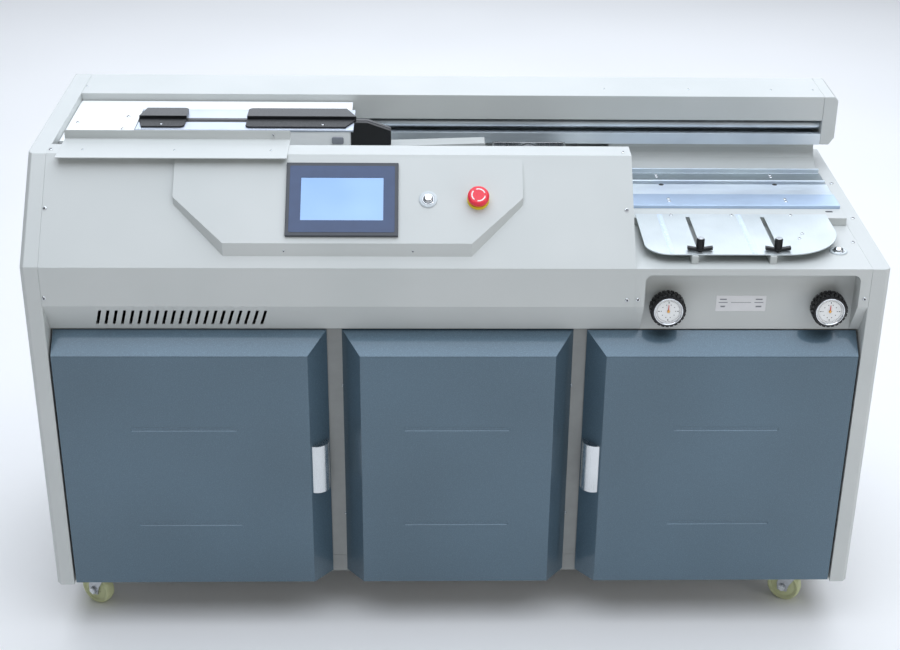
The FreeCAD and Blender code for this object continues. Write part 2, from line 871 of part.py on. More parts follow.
def make_carriage_frame(jaw_back, seat):
    deck_top = rise(carriage_deck_rise)
    deck_foot = deck_top - carriage_deck_thickness
    front = deep(carriage_front_deep)
    rear = deep(carriage_back_deep)
    well = clamp_left_x - clamp_plate_gap
    rod_z = rise(guide_rod_rise)
    arm_foot = rod_z - carriage_arm_height / 2
    side_foot = rise(max(mill_guard_rise, glue_rise) + carriage_unit_clearance)
    solids = [
        block(carriage_left_x, well, front, rear, deck_foot, deck_top),
        block(well, carriage_right_x, jaw_back, rear, deck_foot, seat),
        block(well, carriage_right_x, deep(rear_plate_deep), rear, seat, deck_top),
        block(carriage_left_x, carriage_right_x, rear - clamp_plate_thickness, rear, arm_foot, deck_foot),
        block(carriage_left_x, carriage_left_x + clamp_plate_thickness, front, rear, side_foot, deck_foot),
    ]
    bearing_front = rod_depths()[0] - bearing_block_wall
    bearing_back = rod_depths()[1] + bearing_block_wall
    bearing_foot = rod_z - bearing_block_height / 2
    for x in (
        carriage_left_x + bearing_block_inset, carriage_right_x - bearing_block_inset - bearing_block_length,
    ):
        x1 = x + bearing_block_length
        solids.append(block(
            x, x1, rear - drill_lap, bearing_front + drill_lap, arm_foot, arm_foot + carriage_arm_height,
        ))
        bearing_top = bearing_foot + bearing_block_height
        solids.append(block(x, x1, bearing_front, bearing_back, bearing_foot, bearing_top))
    length = carriage_right_x - carriage_left_x
    bores = [
        rod(carriage_left_x, y, rod_z, guide_rod_radius + shaft_clearance, length, (1, 0, 0))
        for y in rod_depths()
    ]
    save("carriage_frame", cut_all(join(solids), bores))


def make_clamp():
    seat = rise(carriage_deck_rise) - clamp_plate_thickness
    deck_top = rise(carriage_deck_rise)
    front = deep(clamp_front_deep)
    front_jaw_back = deep(slot_deep - jaw_gap / 2)
    front_jaw_y = front_jaw_back - jaw_thickness
    rear_jaw_y = front_jaw_back + jaw_gap
    rear_jaw_back = rear_jaw_y + jaw_thickness
    make_carriage_frame(rear_jaw_back, seat)
    save("rear_clamp_plate", block(
        clamp_left_x, clamp_right_x, rear_jaw_back, deep(rear_plate_deep), seat, deck_top,
    ))
    rod_z = rise(clamp_rod_rise)
    drills = [
        rod(x, front, rod_z, clamp_rod_radius + shaft_clearance, deep(carriage_back_deep) - front, (0, 1, 0))
        for x in clamp_rod_xs()
    ]
    rear_pads = pads(rear_jaw_y, rear_jaw_back + rear_pad_depth, rear_pad_height)
    save("rear_jaw", cut_all(jaw(rear_jaw_y), drills), *rear_pads)
    rod_length = clamp_travel + jaw_gap + jaw_thickness + clamp_rod_spare
    rods = [
        rod(x, front_jaw_back, rod_z, clamp_rod_radius, rod_length, (0, 1, 0)) for x in clamp_rod_xs()
    ]
    front_pads = pads(front_jaw_back, front_jaw_y - front_pad_depth, front_pad_height)
    save("front_jaw", jaw(front_jaw_y), *rods, *front_pads)
    save("front_clamp_plate", block(clamp_left_x, clamp_right_x, front, front_jaw_y, seat, deck_top))
    box_front = front + clamp_box_inset
    box_foot = seat - clamp_box_height
    box = block(clamp_left_x, carriage_right_x, box_front, front_jaw_y, box_foot, seat)
    hollow = block(
        clamp_left_x + sheet, carriage_right_x - sheet, box_front + sheet, front_jaw_y - sheet,
        box_foot - drill_lap, seat - sheet,
    )
    save("front_clamp_box", box.cut(hollow))


def handwheel_spots():
    return [("left", handwheel_x_left), ("right", handwheel_x_right)]


def make_table():
    path = [chin_foot, band_foot, nose, (deep(table_back_deep), table_z)]
    skin = prism_x(folded(path, sheet), console_right_x, inner_x)
    recess_top = rise(-recess_drop)
    lid_top = recess_top + sheet
    wall = deep(chin_depth)
    wall_back = wall + sheet
    foot = chin_foot[1]
    opening = round_edges(
        block(recess_left_x, recess_right_x, front_y - drill_lap, wall, floor_z, recess_top),
        recess_corner_radius,
        lambda edge: runs_along(edge, "y") and edge.CenterOfMass.z > recess_top - sheet,
    )
    side = [(front_y, lid_top), band_foot, chin_foot, (wall_back, foot), (wall_back, lid_top)]
    box = [
        prism_x(side, recess_left_x - sheet, recess_left_x),
        prism_x(side, recess_right_x, recess_right_x + sheet),
        block(recess_left_x, recess_right_x, front_y, wall, recess_top, lid_top),
        block(recess_left_x, recess_right_x, wall, wall_back, foot, lid_top),
    ]
    drills = [button_hole(table_spot(), push_button_stem_radius)]
    shaft_hole = handwheel_shaft_radius + shaft_clearance
    for name, x in handwheel_spots():
        drills.append(rod(
            x, wall - drill_lap, rise(-handwheel_drop), shaft_hole, sheet + 2 * drill_lap, (0, 1, 0),
        ))
    save("table_top", cut_all(join([skin.cut(opening)] + box), drills))


def around(count):
    """Angles of evenly spaced things on a circle."""
    return [2 * math.pi * i / count for i in range(count)]


def make_handwheels():
    y0 = deep(handwheel_face_deep)
    z = rise(-handwheel_drop)
    along_y = (0, 1, 0)
    for name, x in handwheel_spots():
        reach = handwheel_radius + handwheel_knurl_reach
        flutes = [
            rod(
                x + reach * math.cos(angle), y0, z + reach * math.sin(angle), handwheel_knurl_radius,
                handwheel_depth, along_y,
            )
            for angle in around(handwheel_knurls)
        ]
        dish = rod(x, y0, z, handwheel_dish_radius, handwheel_dish_depth, along_y)
        wheel = cut_all(rod(x, y0, z, handwheel_radius, handwheel_depth, along_y), flutes + [dish])
        back = y0 + handwheel_depth
        shaft = rod(x, back, z, handwheel_shaft_radius, handwheel_shaft_length, along_y)
        save(name + "_handwheel", wheel.fuse(shaft).removeSplitter())


def feed_slots():
    return [("left", slot_x_left), ("right", slot_x_right)]


def make_platform():
    front = deep(platform_front_deep)
    step_back = deep(nip_bar_front_deep) - sheet_gap
    bed_top = rise(bed_height)
    top = rise(platform_height)
    bed = block(console_right_x, platform_right_x, front, deep(nip_gap_front_deep), table_z, bed_top)
    step = block(console_right_x, platform_right_x, front, step_back, bed_top, top)
    rail_front = deep(feed_front_deep - slide_rail_front_reach)
    half = slide_rail_width / 2
    rail_xs = [x - slide_rail_offset for name, x in feed_slots()]
    rails = [block(x - half, x + half, rail_front, front, table_z, top) for x in rail_xs]
    save("cover_platform", join([bed, step]), *rails)


def make_feed_plate():
    z = rise(platform_height)
    front = deep(feed_front_deep)
    plate = block(feed_left_x, feed_right_x, front, deep(feed_back_deep), z, z + feed_thickness)

    def front_corner(edge_x):
        def chosen(edge):
            point = edge.CenterOfMass
            at_corner = abs(point.x - edge_x) < sheet and abs(point.y - front) < sheet
            return runs_along(edge, "z") and at_corner
        return chosen

    plate = round_edges(plate, feed_left_radius, front_corner(feed_left_x))
    plate = round_edges(plate, feed_right_radius, front_corner(feed_right_x))
    half = feed_slot_width / 2
    slot_back = deep(platform_front_deep - feed_slot_back_margin)
    slots = [
        block(
            x - half, x + half, front + feed_slot_front_margin, slot_back,
            z - drill_lap, z + feed_thickness + drill_lap,
        )
        for name, x in feed_slots()
    ]
    save("cover_feed_plate", cut_all(plate, slots))


def make_stops():
    z = rise(platform_height + feed_thickness) + sheet_gap
    y = deep(stop_deep)
    half = stop_wing_width / 2
    waist = stop_wing_waist
    for name, x in feed_slots():
        wing = [
            (x - half, z + stop_wing_rise), (x - half, z + stop_wing_lift), (x - waist, z), (x + waist, z),
            (x + half, z + stop_wing_lift), (x + half, z + stop_wing_rise),
            (x + waist, z + stop_wing_thickness), (x - waist, z + stop_wing_thickness),
        ]
        body = prism_y(wing, y - stop_thickness, y + stop_thickness)
        hub = rod(x, y, z, stop_knob_radius + sheet_gap, stop_wing_thickness)
        foot = rod(x, y, z - stop_foot_depth, feed_slot_width / 2 - sheet_gap, stop_foot_depth)
        knob_z = z + stop_wing_thickness + sheet_gap
        bore = rod(
            x, y, z - stop_foot_depth - drill_lap, stop_bore_radius + shaft_clearance,
            stop_foot_depth + stop_knob_height,
        )
        save(name + "_stop", join([body, hub, foot]).cut(bore))
        reach = stop_knob_radius + stop_grip_reach
        grips = [
            rod(
                x + reach * math.cos(angle), y + reach * math.sin(angle), knob_z + stop_grip_foot,
                stop_grip_radius, stop_knob_height,
            )
            for angle in around(stop_knob_grips)
        ]
        knob = cut_all(rod(x, y, knob_z, stop_knob_radius, stop_knob_height), grips)
        screw = rod(x, y, z - stop_screw_depth, stop_bore_radius, stop_screw_length)
        save(name + "_stop_knob", knob.fuse(screw).removeSplitter())


def make_nip():
    x0, x1 = nip_left_x, nip_right_x
    low = rise(bed_height) + sheet_gap
    bar_back = deep(nip_bar_back_deep)
    gap_front = deep(nip_gap_front_deep)
    gap_back = deep(nip_gap_back_deep)
    rear = deep(nip_back_deep)
    save("nip_front_jaw", join([
        block(x0, x1, deep(nip_bar_front_deep), bar_back, low, rise(nip_bar_rise)),
        block(x0, x1, bar_back, gap_front, low, rise(nip_plate_rise)),
    ]))
    side = nip_lift_side_gap
    lift_foot = rise(-nip_block_depth)
    lift_top = rise(bed_height - nip_lift_travel - nip_closed_gap)
    save("nip_bottom_plate", block(x0, x1, gap_front + side, gap_back - side, lift_foot, lift_top))
    bed_top = rise(bed_height)
    save("nip_rear_jaw", join([
        block(x0, platform_right_x, gap_back, rear, rise(-sheet), bed_top + nip_rear_step),
        block(
            x0, x1, gap_back, gap_back + nip_rear_front_lip, bed_top, rise(nip_plate_rise + nip_rear_step),
        ),
        block(x0, x1, rear - nip_rear_back_lip, rear, bed_top, rise(nip_bar_rise + nip_rear_step)),
    ]))
    start_z = rise(nip_rear_step)
    crest_y = deep(beam_deep) + nip_sheet_reach
    crest_z = rise(nip_sheet_rise)
    path = []
    for i in range(nip_sheet_steps + 1):
        angle = math.pi / 2 * i / nip_sheet_steps
        path.append((
            rear + (crest_y - rear) * math.sin(angle), start_z + (crest_z - start_z) * (1 - math.cos(angle)),
        ))
    path.append((back_sheet_y - tube, crest_z))
    save("nip_rear_sheet", prism_x(folded(path, sheet), console_right_x + sheet, inner_x))


def make_units():
    unit_mid = (deep(unit_front_deep) + deep(unit_back_deep)) / 2
    mill_x = (mill_left_x + mill_right_x) / 2
    bed_foot = rise(-sheet)
    bed_top = bed_foot + bed_thickness
    bed = block(
        -inner_x, console_right_x - sheet, deep(console_back_deep), back_sheet_y - tube, bed_foot, bed_top,
    )
    shaft_hole = rod(
        mill_x, unit_mid, bed_foot - drill_lap, cutter_shaft_radius + cutter_shaft_gap,
        bed_thickness + 2 * drill_lap,
    )
    save("machine_bed", bed.cut(shaft_hole))
    make_milling(mill_x, unit_mid, bed_foot, bed_top)
    make_glue(bed_top)


def make_milling(mill_x, unit_mid, bed_foot, bed_top):
    front = deep(unit_front_deep)
    back = deep(unit_back_deep)
    top = rise(mill_guard_rise)

    low_top = top - mill_guard_slope
    inside_top = top - mill_slot_height
    outline = [
        (mill_left_x, bed_top), (mill_right_x, bed_top), (mill_right_x, top), (mill_left_x, low_top),
    ]
    guard = round_edges(
        prism_y(outline, front, back), mill_corner_radius,
        lambda edge: edge.CenterOfMass.z > low_top - sheet,
    )
    inside = block(
        mill_left_x + sheet, mill_right_x - sheet, front + sheet, back - sheet,
        bed_top - drill_lap, inside_top,
    )
    slot = block(
        mill_left_x - drill_lap, mill_right_x + drill_lap, unit_mid - mill_slot_depth / 2,
        unit_mid + mill_slot_depth / 2, inside_top - drill_lap, top + drill_lap,
    )
    save("milling_guard", cut_all(guard, [inside, slot]))
    disc_foot = rise(cutter_rise) - cutter_thickness
    disc_top = disc_foot + cutter_thickness
    teeth = []
    for angle in around(cutter_teeth):
        tooth = block(
            mill_x + cutter_radius - tooth_root, mill_x + cutter_radius + tooth_reach,
            unit_mid - tooth_width / 2, unit_mid + tooth_width / 2,
            disc_top - tooth_drop, disc_top + tooth_rise,
        )
        tooth.rotate(vec(mill_x, unit_mid, 0), vec(0, 0, 1), math.degrees(angle))
        teeth.append(tooth)
    disc = rod(mill_x, unit_mid, disc_foot, cutter_radius, cutter_thickness)
    bore_foot = bed_foot - mill_motor_bore
    shaft = rod(mill_x, unit_mid, bore_foot + drill_lap, cutter_shaft_radius, disc_foot - bore_foot)
    save("milling_cutter", join([disc, shaft] + teeth))
    motor = rod(mill_x, unit_mid, bed_foot - mill_motor_length, mill_motor_radius, mill_motor_length)
    bore_radius = cutter_shaft_radius + shaft_clearance
    bore = rod(mill_x, unit_mid, bore_foot, bore_radius, mill_motor_bore + drill_lap)
    save("milling_motor", motor.cut(bore))


def make_glue(bed_top):
    front = deep(unit_front_deep)
    back = deep(unit_back_deep)
    depth = back - front
    top = rise(glue_rise)
    roller_x = (glue_left_x + glue_right_x) / 2
    roller_z = rise(glue_roller_rise)
    along_y = (0, 1, 0)
    tank = block(glue_left_x, glue_right_x, front, back, bed_top, top)
    well = block(
        glue_left_x + glue_wall, glue_right_x - glue_wall, front + glue_wall, back - glue_wall,
        bed_top + glue_wall, top + drill_lap,
    )
    journal_bore = rod(roller_x, front, roller_z, glue_journal_radius + shaft_clearance, depth, along_y)
    save("glue_tank", cut_all(tank, [well, journal_bore]))
    inset = glue_wall + glue_roller_side_gap
    roller = rod(roller_x, front + inset, roller_z, glue_roller_radius, depth - 2 * inset, along_y)
    journal = rod(roller_x, front, roller_z, glue_journal_radius, depth, along_y)
    save("glue_roller", roller.fuse(journal).removeSplitter())


def make_electrical_box():
    rear = back_sheet_y + sheet - inlet_depth - electric_box_gap
    foot = floor_z + floor_plate_thickness
    half = electric_box_width / 2
    save("electrical_box", block(
        electric_x - half, electric_x + half, rear - electric_box_depth, rear,
        foot, foot + electric_box_height,
    ))


def pressed_groove(x, z):
    """Shallow groove with round ends and sloping walls, pressed into a cover's face."""
    half_width = groove_width / 2

    def round_bar(y, half):
        left = x - groove_length / 2 + half
        right = x + groove_length / 2 - half
        low = z - half
        high = z + half
        corners = [vec(left, y, low), vec(right, y, low), vec(right, y, high), vec(left, y, high)]
        return Part.Wire([
            Part.makeLine(corners[0], corners[1]),
            Part.Arc(corners[1], vec(right + half, y, z), corners[2]).toShape(),
            Part.makeLine(corners[2], corners[3]),
            Part.Arc(corners[3], vec(left - half, y, z), corners[0]).toShape(),
        ])

    mouth = round_bar(front_y - groove_depth, half_width + groove_slope)
    bottom = round_bar(front_y + groove_depth, half_width - groove_slope)
    return Part.makeLoft([mouth, bottom], True, True)


def cover_pan(x0, x1, bevel_left, bevel_right, pan_depth):
    """Front cover: a flat face with bevelled edges, open at the back."""
    top = rise(-cover_top_drop)
    face_top = rise(-cover_face_top_drop)
    foot = floor_z + cover_foot_gap
    back = deep(pan_depth)
    wall_left = cover_wall * 0.4 if bevel_left else -sheet
    wall_right = cover_wall * 0.4 if bevel_right else -sheet

    def ring(y, left, right, low, high):
        points = [vec(left, y, low), vec(right, y, low), vec(right, y, high), vec(left, y, high)]
        return Part.makePolygon(points + [points[0]])

    face_left = x0 + bevel_left
    face_right = x1 - bevel_right
    outer = Part.makeLoft(
        [ring(front_y, face_left, face_right, foot, face_top), ring(back, x0, x1, foot, top)], True, True,
    )
    low = foot + sheet
    inner = Part.makeLoft([
        ring(front_y + sheet, face_left + wall_left, face_right - wall_right, low, face_top - sheet / 2),
        ring(back + sheet, x0 + wall_left, x1 - wall_right, low, top - sheet / 2),
    ], True, True)
    middle_x = (face_left + face_right) / 2
    grooves = [pressed_groove(middle_x, rise(-drop)) for drop in groove_drops]
    return outer.cut(inner).cut(Part.makeCompound(grooves))


def hinge_spot(side):
    """Axis of a door's hinge; side is -1 for the left door and 1 for the right one."""
    edge = left_door_left_x if side < 0 else right_door_right_x
    return edge - side * hinge_inset_x, front_y + hinge_inset_y


def make_hinges():
    half = hinge_arm_half_width
    solids = []
    for side in (-1, 1):
        x, y = hinge_spot(side)
        for drop in hinge_drops:
            z = rise(-drop)
            arm = block(x - half, x + half, y, deep(post_deep), z, z + hinge_arm_thickness)
            eye = rod(x, y, z, half, hinge_arm_thickness)
            pin = rod(x, y, z + hinge_pin_proud - hinge_pin_length, hinge_pin_radius, hinge_pin_length)
            solids.append(join([arm, eye, pin]))
    save("door_hinges", *solids)


def hinge_lugs(side):
    """Lugs inside a door that turn on the hinge pins."""
    x, y = hinge_spot(side)
    reach = hinge_pin_radius + lug_wall
    lugs = []
    for drop in hinge_drops:
        z = rise(-drop) - lug_gap - lug_thickness
        lug = block(x - reach, x + reach, front_y + sheet, y + reach, z, z + lug_thickness)
        lugs.append(lug.cut(rod(x, y, z, hinge_pin_radius + shaft_clearance, lug_thickness)))
    return lugs


def handle(x_front, x_back):
    """Curved grip on the bevel that runs from x_front at the face to x_back at the door's back."""
    foot = rise(-handle_drop) - handle_length / 2
    start = (x_front, front_y)
    end = (x_back, deep(cover_depth))
    along = unit(start, end)
    side = 1 if x_back > x_front else -1
    out = (along[1] * side, -along[0] * side)
    low = handle_edge_margin
    high = math.hypot(end[0] - start[0], end[1] - start[1]) - handle_edge_margin

    def point(distance, lift, z):
        x = start[0] + along[0] * distance + out[0] * lift
        return vec(x, start[1] + along[1] * distance + out[1] * lift, z)

    def bow(inset, z, length):
        near, far = low + inset, high - inset
        ends = [point(near, 0, z), point(far, 0, z)]
        arc = Part.Arc(ends[0], point((near + far) / 2, handle_bulge - inset, z), ends[1]).toShape()
        return Part.Face(Part.Wire([arc, Part.makeLine(ends[1], ends[0])])).extrude(vec(0, 0, length))

    grip = bow(0, foot, handle_length).cut(bow(handle_wall, foot, handle_length))
    caps = [
        bow(handle_wall, z, handle_cap) for z in (foot, foot + handle_length - handle_cap)
    ]
    return [grip] + caps


def make_covers():
    bevel = cover_bevel_width
    left = cover_pan(left_door_left_x, left_door_right_x, 0, bevel, cover_depth)
    right = cover_pan(right_door_left_x, right_door_right_x, bevel, 0, cover_depth)
    save("left_door", join([left] + hinge_lugs(-1)))
    save("right_door", join([right] + hinge_lugs(1)))
    save("middle_cover", cover_pan(middle_cover_left_x, middle_cover_right_x, bevel, bevel, post_deep))
    save("left_door_handle", *handle(left_door_right_x - bevel, left_door_right_x))
    save("right_door_handle", *handle(right_door_left_x + bevel, right_door_left_x))


def castor_spots():
    front = deep(castor_deep)
    rear = back_y - castor_deep
    return [
        ("front_left", -castor_x, front),
        ("front_right", castor_x, front),
        ("rear_left", -castor_x, rear),
        ("rear_right", castor_x, rear),
    ]


def castor_fork(x, y, crown_top):
    """Crown, two legs and the axle with its nuts, trailing towards -X."""
    wheel_x = x - castor_trail
    axle_z = castor_wheel_radius
    inner = castor_wheel_width / 2 + castor_wheel_side_gap
    outer = inner + castor_fork_wall
    crown_foot = crown_top - castor_fork_wall
    half = castor_leg_half_width
    shoulder = axle_z + castor_leg_shoulder
    foot = axle_z - castor_leg_foot_drop
    outline = [
        (x + castor_crown_front, crown_top), (x - castor_crown_back, crown_top), (wheel_x - half, shoulder),
        (wheel_x - half + sheet, foot), (wheel_x + half - sheet, foot), (wheel_x + half + sheet, shoulder),
    ]
    legs = [prism_y(outline, y + side, y + side + castor_fork_wall) for side in (-outer, inner)]
    crown = block(x - castor_crown_back, x + castor_crown_front, y - outer, y + outer, crown_foot, crown_top)
    disc = rod(x, y, crown_foot, castor_race_radius - castor_disc_inset, castor_fork_wall)
    axle_reach = outer + castor_nut_length
    axle = rod(wheel_x, y - axle_reach, axle_z, castor_axle_radius, 2 * axle_reach, (0, 1, 0))
    nuts = [
        rod(wheel_x, y0, axle_z, castor_axle_radius + castor_nut_wall, castor_nut_length, (0, 1, 0))
        for y0 in (y - axle_reach, y + outer)
    ]
    return join(legs + [crown, disc, axle] + nuts)


def castor_wheel(x, y):
    wheel_x = x - castor_trail
    front = y - castor_wheel_width / 2
    axle_z = castor_wheel_radius
    bore_radius = castor_axle_radius + shaft_clearance
    tyre = rod(wheel_x, front, axle_z, castor_wheel_radius, castor_wheel_width, (0, 1, 0))
    tyre = round_edges(tyre, castor_tyre_radius, lambda edge: not edge.Vertexes[1:])
    return tyre.cut(rod(wheel_x, front, axle_z, bore_radius, castor_wheel_width, (0, 1, 0)))


def make_castors():
    plates = []
    crown_top = castor_height - castor_race_height
    half = castor_plate_size / 2
    for name, x, y in castor_spots():
        plate_foot = castor_height - castor_plate_thickness
        plate = block(x - half, x + half, y - half, y + half, plate_foot, castor_height)
        race_foot = crown_top + sheet_gap
        race = rod(x, y, race_foot, castor_race_radius, plate_foot - race_foot)
        plates.append(plate.fuse(race).removeSplitter())
        fork = castor_fork(x, y, crown_top)
        wheel = castor_wheel(x, y)
        for solid in (fork, wheel):
            solid.rotate(vec(x, y, 0), vec(0, 0, 1), castor_turn)
        save("castor_fork_" + name, fork)
        save("castor_wheel_" + name, wheel)
    save("castor_plates", *plates)


os.makedirs("parts", exist_ok=True)
make_side_panels()
make_frame()
make_back_panel()
make_console()
make_control_panel()
make_screen()
make_buttons()
make_tray()
make_beam()
make_drive()
make_clamp()
make_table()
make_handwheels()
make_platform()
make_feed_plate()
make_stops()
make_nip()
make_units()
make_electrical_box()
make_hinges()
make_covers()
make_castors()
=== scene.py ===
import json
import math
import bmesh
import bpy
from mathutils import Matrix, Vector


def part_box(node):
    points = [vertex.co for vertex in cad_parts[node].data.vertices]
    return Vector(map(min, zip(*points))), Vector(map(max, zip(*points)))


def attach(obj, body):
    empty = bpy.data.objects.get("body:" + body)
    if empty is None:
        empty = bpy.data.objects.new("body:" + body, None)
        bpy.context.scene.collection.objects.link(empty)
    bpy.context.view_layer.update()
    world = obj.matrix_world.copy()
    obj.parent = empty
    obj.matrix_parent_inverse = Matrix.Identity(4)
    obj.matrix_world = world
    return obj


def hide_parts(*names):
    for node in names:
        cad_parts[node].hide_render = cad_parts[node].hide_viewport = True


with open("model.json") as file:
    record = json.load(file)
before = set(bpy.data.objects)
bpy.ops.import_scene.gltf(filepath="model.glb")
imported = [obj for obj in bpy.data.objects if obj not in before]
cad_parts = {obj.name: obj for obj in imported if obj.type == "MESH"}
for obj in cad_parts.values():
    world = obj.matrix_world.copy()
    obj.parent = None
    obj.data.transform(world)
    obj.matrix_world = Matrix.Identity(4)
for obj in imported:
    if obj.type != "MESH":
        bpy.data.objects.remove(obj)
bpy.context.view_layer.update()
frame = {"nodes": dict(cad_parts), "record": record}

nodes = frame["nodes"]
scene = bpy.context.scene
mm = 0.001

# which body each CAD node rides on, so that a dressed copy follows it
bodyOf = {
    node: body
    for body, members in frame["record"]["behaviour"]["bodies"].items()
    for node in members
}
slotOf = {part["node"]: part["material_slot"] for part in frame["record"]["subparts"]}


# colours and node helpers

def linearHex(text):
    # sRGB hex to linear RGBA
    channels = [int(text[i:i + 2], 16) / 255 for i in (1, 3, 5)]
    return [c / 12.92 if c <= 0.04045 else ((c + 0.055) / 1.055) ** 2.4 for c in channels] + [1.0]


def addNode(tree, kind, settings=None, links=None, values=None):
    node = tree.nodes.new(kind)
    for key, value in (settings or {}).items():
        setattr(node, key, value)
    for key, value in (values or {}).items():
        node.inputs[key].default_value = value
    for key, source in (links or {}).items():
        tree.links.new(source, node.inputs[key])
    return node


def newMaterial(name, color, roughness, metallic=0.0, **values):
    material = bpy.data.materials.new(name)
    material.use_nodes = True
    tree = material.node_tree
    shader = tree.nodes["Principled BSDF"]
    shader.inputs["Base Color"].default_value = linearHex(color)
    shader.inputs["Roughness"].default_value = roughness
    shader.inputs["Metallic"].default_value = metallic
    for key, value in values.items():
        shader.inputs[key].default_value = value
    coords = addNode(tree, "ShaderNodeTexCoord").outputs["Object"]
    return material, tree, shader, coords


def noise(tree, coords, sizeMm, detail=2.0, roughness=0.5, stretch=None):
    # noise whose features are about sizeMm across; stretch scales it along each axis
    vector = coords
    if stretch:
        mapping = addNode(tree, "ShaderNodeMapping", values={"Scale": stretch}, links={"Vector": coords})
        vector = mapping.outputs["Vector"]
    return addNode(
        tree, "ShaderNodeTexNoise", links={"Vector": vector},
        values={"Scale": 1.0 / (sizeMm * mm), "Detail": detail, "Roughness": roughness},
    ).outputs["Fac"]


def ramp(tree, source, stops):
    # color ramp; stops are (position, hex or grey level)
    node = addNode(tree, "ShaderNodeValToRGB", links={"Fac": source})
    elements = node.color_ramp.elements
    while len(elements) < len(stops):
        elements.new(0.5)
    for element, (position, value) in zip(elements, stops):
        element.position = position
        element.color = linearHex(value) if isinstance(value, str) else (value, value, value, 1)
    return node.outputs["Color"]


def rampInto(tree, shader, socket, source, stops):
    tree.links.new(ramp(tree, source, stops), shader.inputs[socket])


def bumpFrom(tree, shader, height, strength, distanceMm):
    bump = addNode(
        tree, "ShaderNodeBump", links={"Height": height},
        values={"Strength": strength, "Distance": distanceMm * mm},
    )
    tree.links.new(bump.outputs["Normal"], shader.inputs["Normal"])


# materials

def makeGreyPaint():
    # powder coat on sheet steel: satin, with a fine leathery grain
    material, tree, shader, coords = newMaterial(
        "powderCoatGrey", "#C5C9C7", 0.42, **{"Coat Weight": 0.12, "Coat Roughness": 0.3},
    )
    tone = noise(tree, coords, 220.0, 2.0)
    rampInto(tree, shader, "Base Color", tone, [(0.3, "#C2C6C4"), (0.7, "#C9CCCA")])
    # the real grain is under 1 mm; it is drawn at 2 mm so that it shows
    grain = noise(tree, coords, 2.0, 3.0, 0.6)
    rampInto(tree, shader, "Roughness", grain, [(0.2, 0.36), (0.8, 0.5)])
    bumpFrom(tree, shader, grain, 0.35, 0.25)
    return material


def makeWhitePaint():
    # the clamp carriage's paint: the same coat, near white, so that it almost burns out under the top light
    material, tree, shader, coords = newMaterial("powderCoatWhite", "#EDF0F0", 0.45)
    tone = noise(tree, coords, 160.0)
    rampInto(tree, shader, "Base Color", tone, [(0.3, "#ECEFEF"), (0.7, "#F4F6F6")])
    bumpFrom(tree, shader, noise(tree, coords, 2.0, 3.0), 0.25, 0.2)
    return material


def makeBluePaint():
    # glossy slate-blue metallic enamel: small bright flakes under a clear coat
    material, tree, shader, coords = newMaterial(
        "metallicSlateEnamel", "#4F6A7E", 0.4, 0.6, **{"Coat Weight": 0.8, "Coat Roughness": 0.08},
    )
    # flakes are a tenth of a millimetre; they are drawn at 1.6 mm so that they show
    flake = noise(tree, coords, 1.6, 1.0)
    drift = noise(tree, coords, 300.0, 1.0)
    fleck = ramp(tree, flake, [(0.35, "#4A5D68"), (0.55, "#536A76"), (0.75, "#67808D")])
    shade = ramp(tree, drift, [(0.3, "#4B6070"), (0.7, "#566E80")])
    blend = addNode(tree, "ShaderNodeMix", {"data_type": "RGBA"}, {6: fleck, 7: shade}, {0: 0.5})
    tree.links.new(blend.outputs[2], shader.inputs["Base Color"])
    bumpFrom(tree, shader, noise(tree, coords, 14.0, 1.0), 0.05, 0.5)  # slight orange peel
    return material


def makeMetal(name, color, roughness, grainAxis, grainMm=0.8, depth=0.2):
    # rolled, ground or brushed metal: long grain along one axis, which draws the light out into streaks
    material, tree, shader, coords = newMaterial(name, color, roughness, 1.0)
    stretch = [1.0, 1.0, 1.0]
    stretch[grainAxis] = 0.02
    grain = noise(tree, coords, grainMm, 3.0, 0.6, stretch)
    rampInto(tree, shader, "Roughness", grain, [(0.25, roughness * 0.75), (0.75, roughness * 1.35)])
    cloud = noise(tree, coords, 90.0, 2.0)
    light = [min(255, int(int(color[i:i + 2], 16) * 1.05)) for i in (1, 3, 5)]
    brighter = "#%02X%02X%02X" % tuple(light)
    rampInto(tree, shader, "Base Color", cloud, [(0.3, color), (0.7, brighter)])
    bumpFrom(tree, shader, grain, depth, 0.1)
    return material


def makePlastic(name, color, roughness, grainMm=1.5, depth=0.2, darker=None, **values):
    # moulded plastic, and with other values enamel, rubber, film and ink: fine grain, slight tone changes
    material, tree, shader, coords = newMaterial(name, color, roughness, **values)
    tone = noise(tree, coords, 25.0, 2.0)
    rampInto(tree, shader, "Base Color", tone, [(0.3, darker or color), (0.7, color)])
    grain = noise(tree, coords, grainMm, 2.0)
    rampInto(tree, shader, "Roughness", grain, [(0.3, roughness * 0.85), (0.7, roughness * 1.15)])
    bumpFrom(tree, shader, grain, depth, 0.1)
    return material


def makeGlassFace():
    # the touch screen's pane, lit pale blue and slightly uneven, under smooth glass
    material, tree, shader, coords = newMaterial(
        "litScreen", "#8FBBEA", 0.12, **{"Coat Weight": 0.6, "Coat Roughness": 0.03},
    )
    drift = noise(tree, coords, 120.0, 1.0)
    glow = ramp(tree, drift, [(0.3, "#7DA5DC"), (0.7, "#90B6E8")])
    tree.links.new(glow, shader.inputs["Base Color"])
    tree.links.new(glow, shader.inputs["Emission Color"])
    shader.inputs["Emission Strength"].default_value = 0.18
    return material


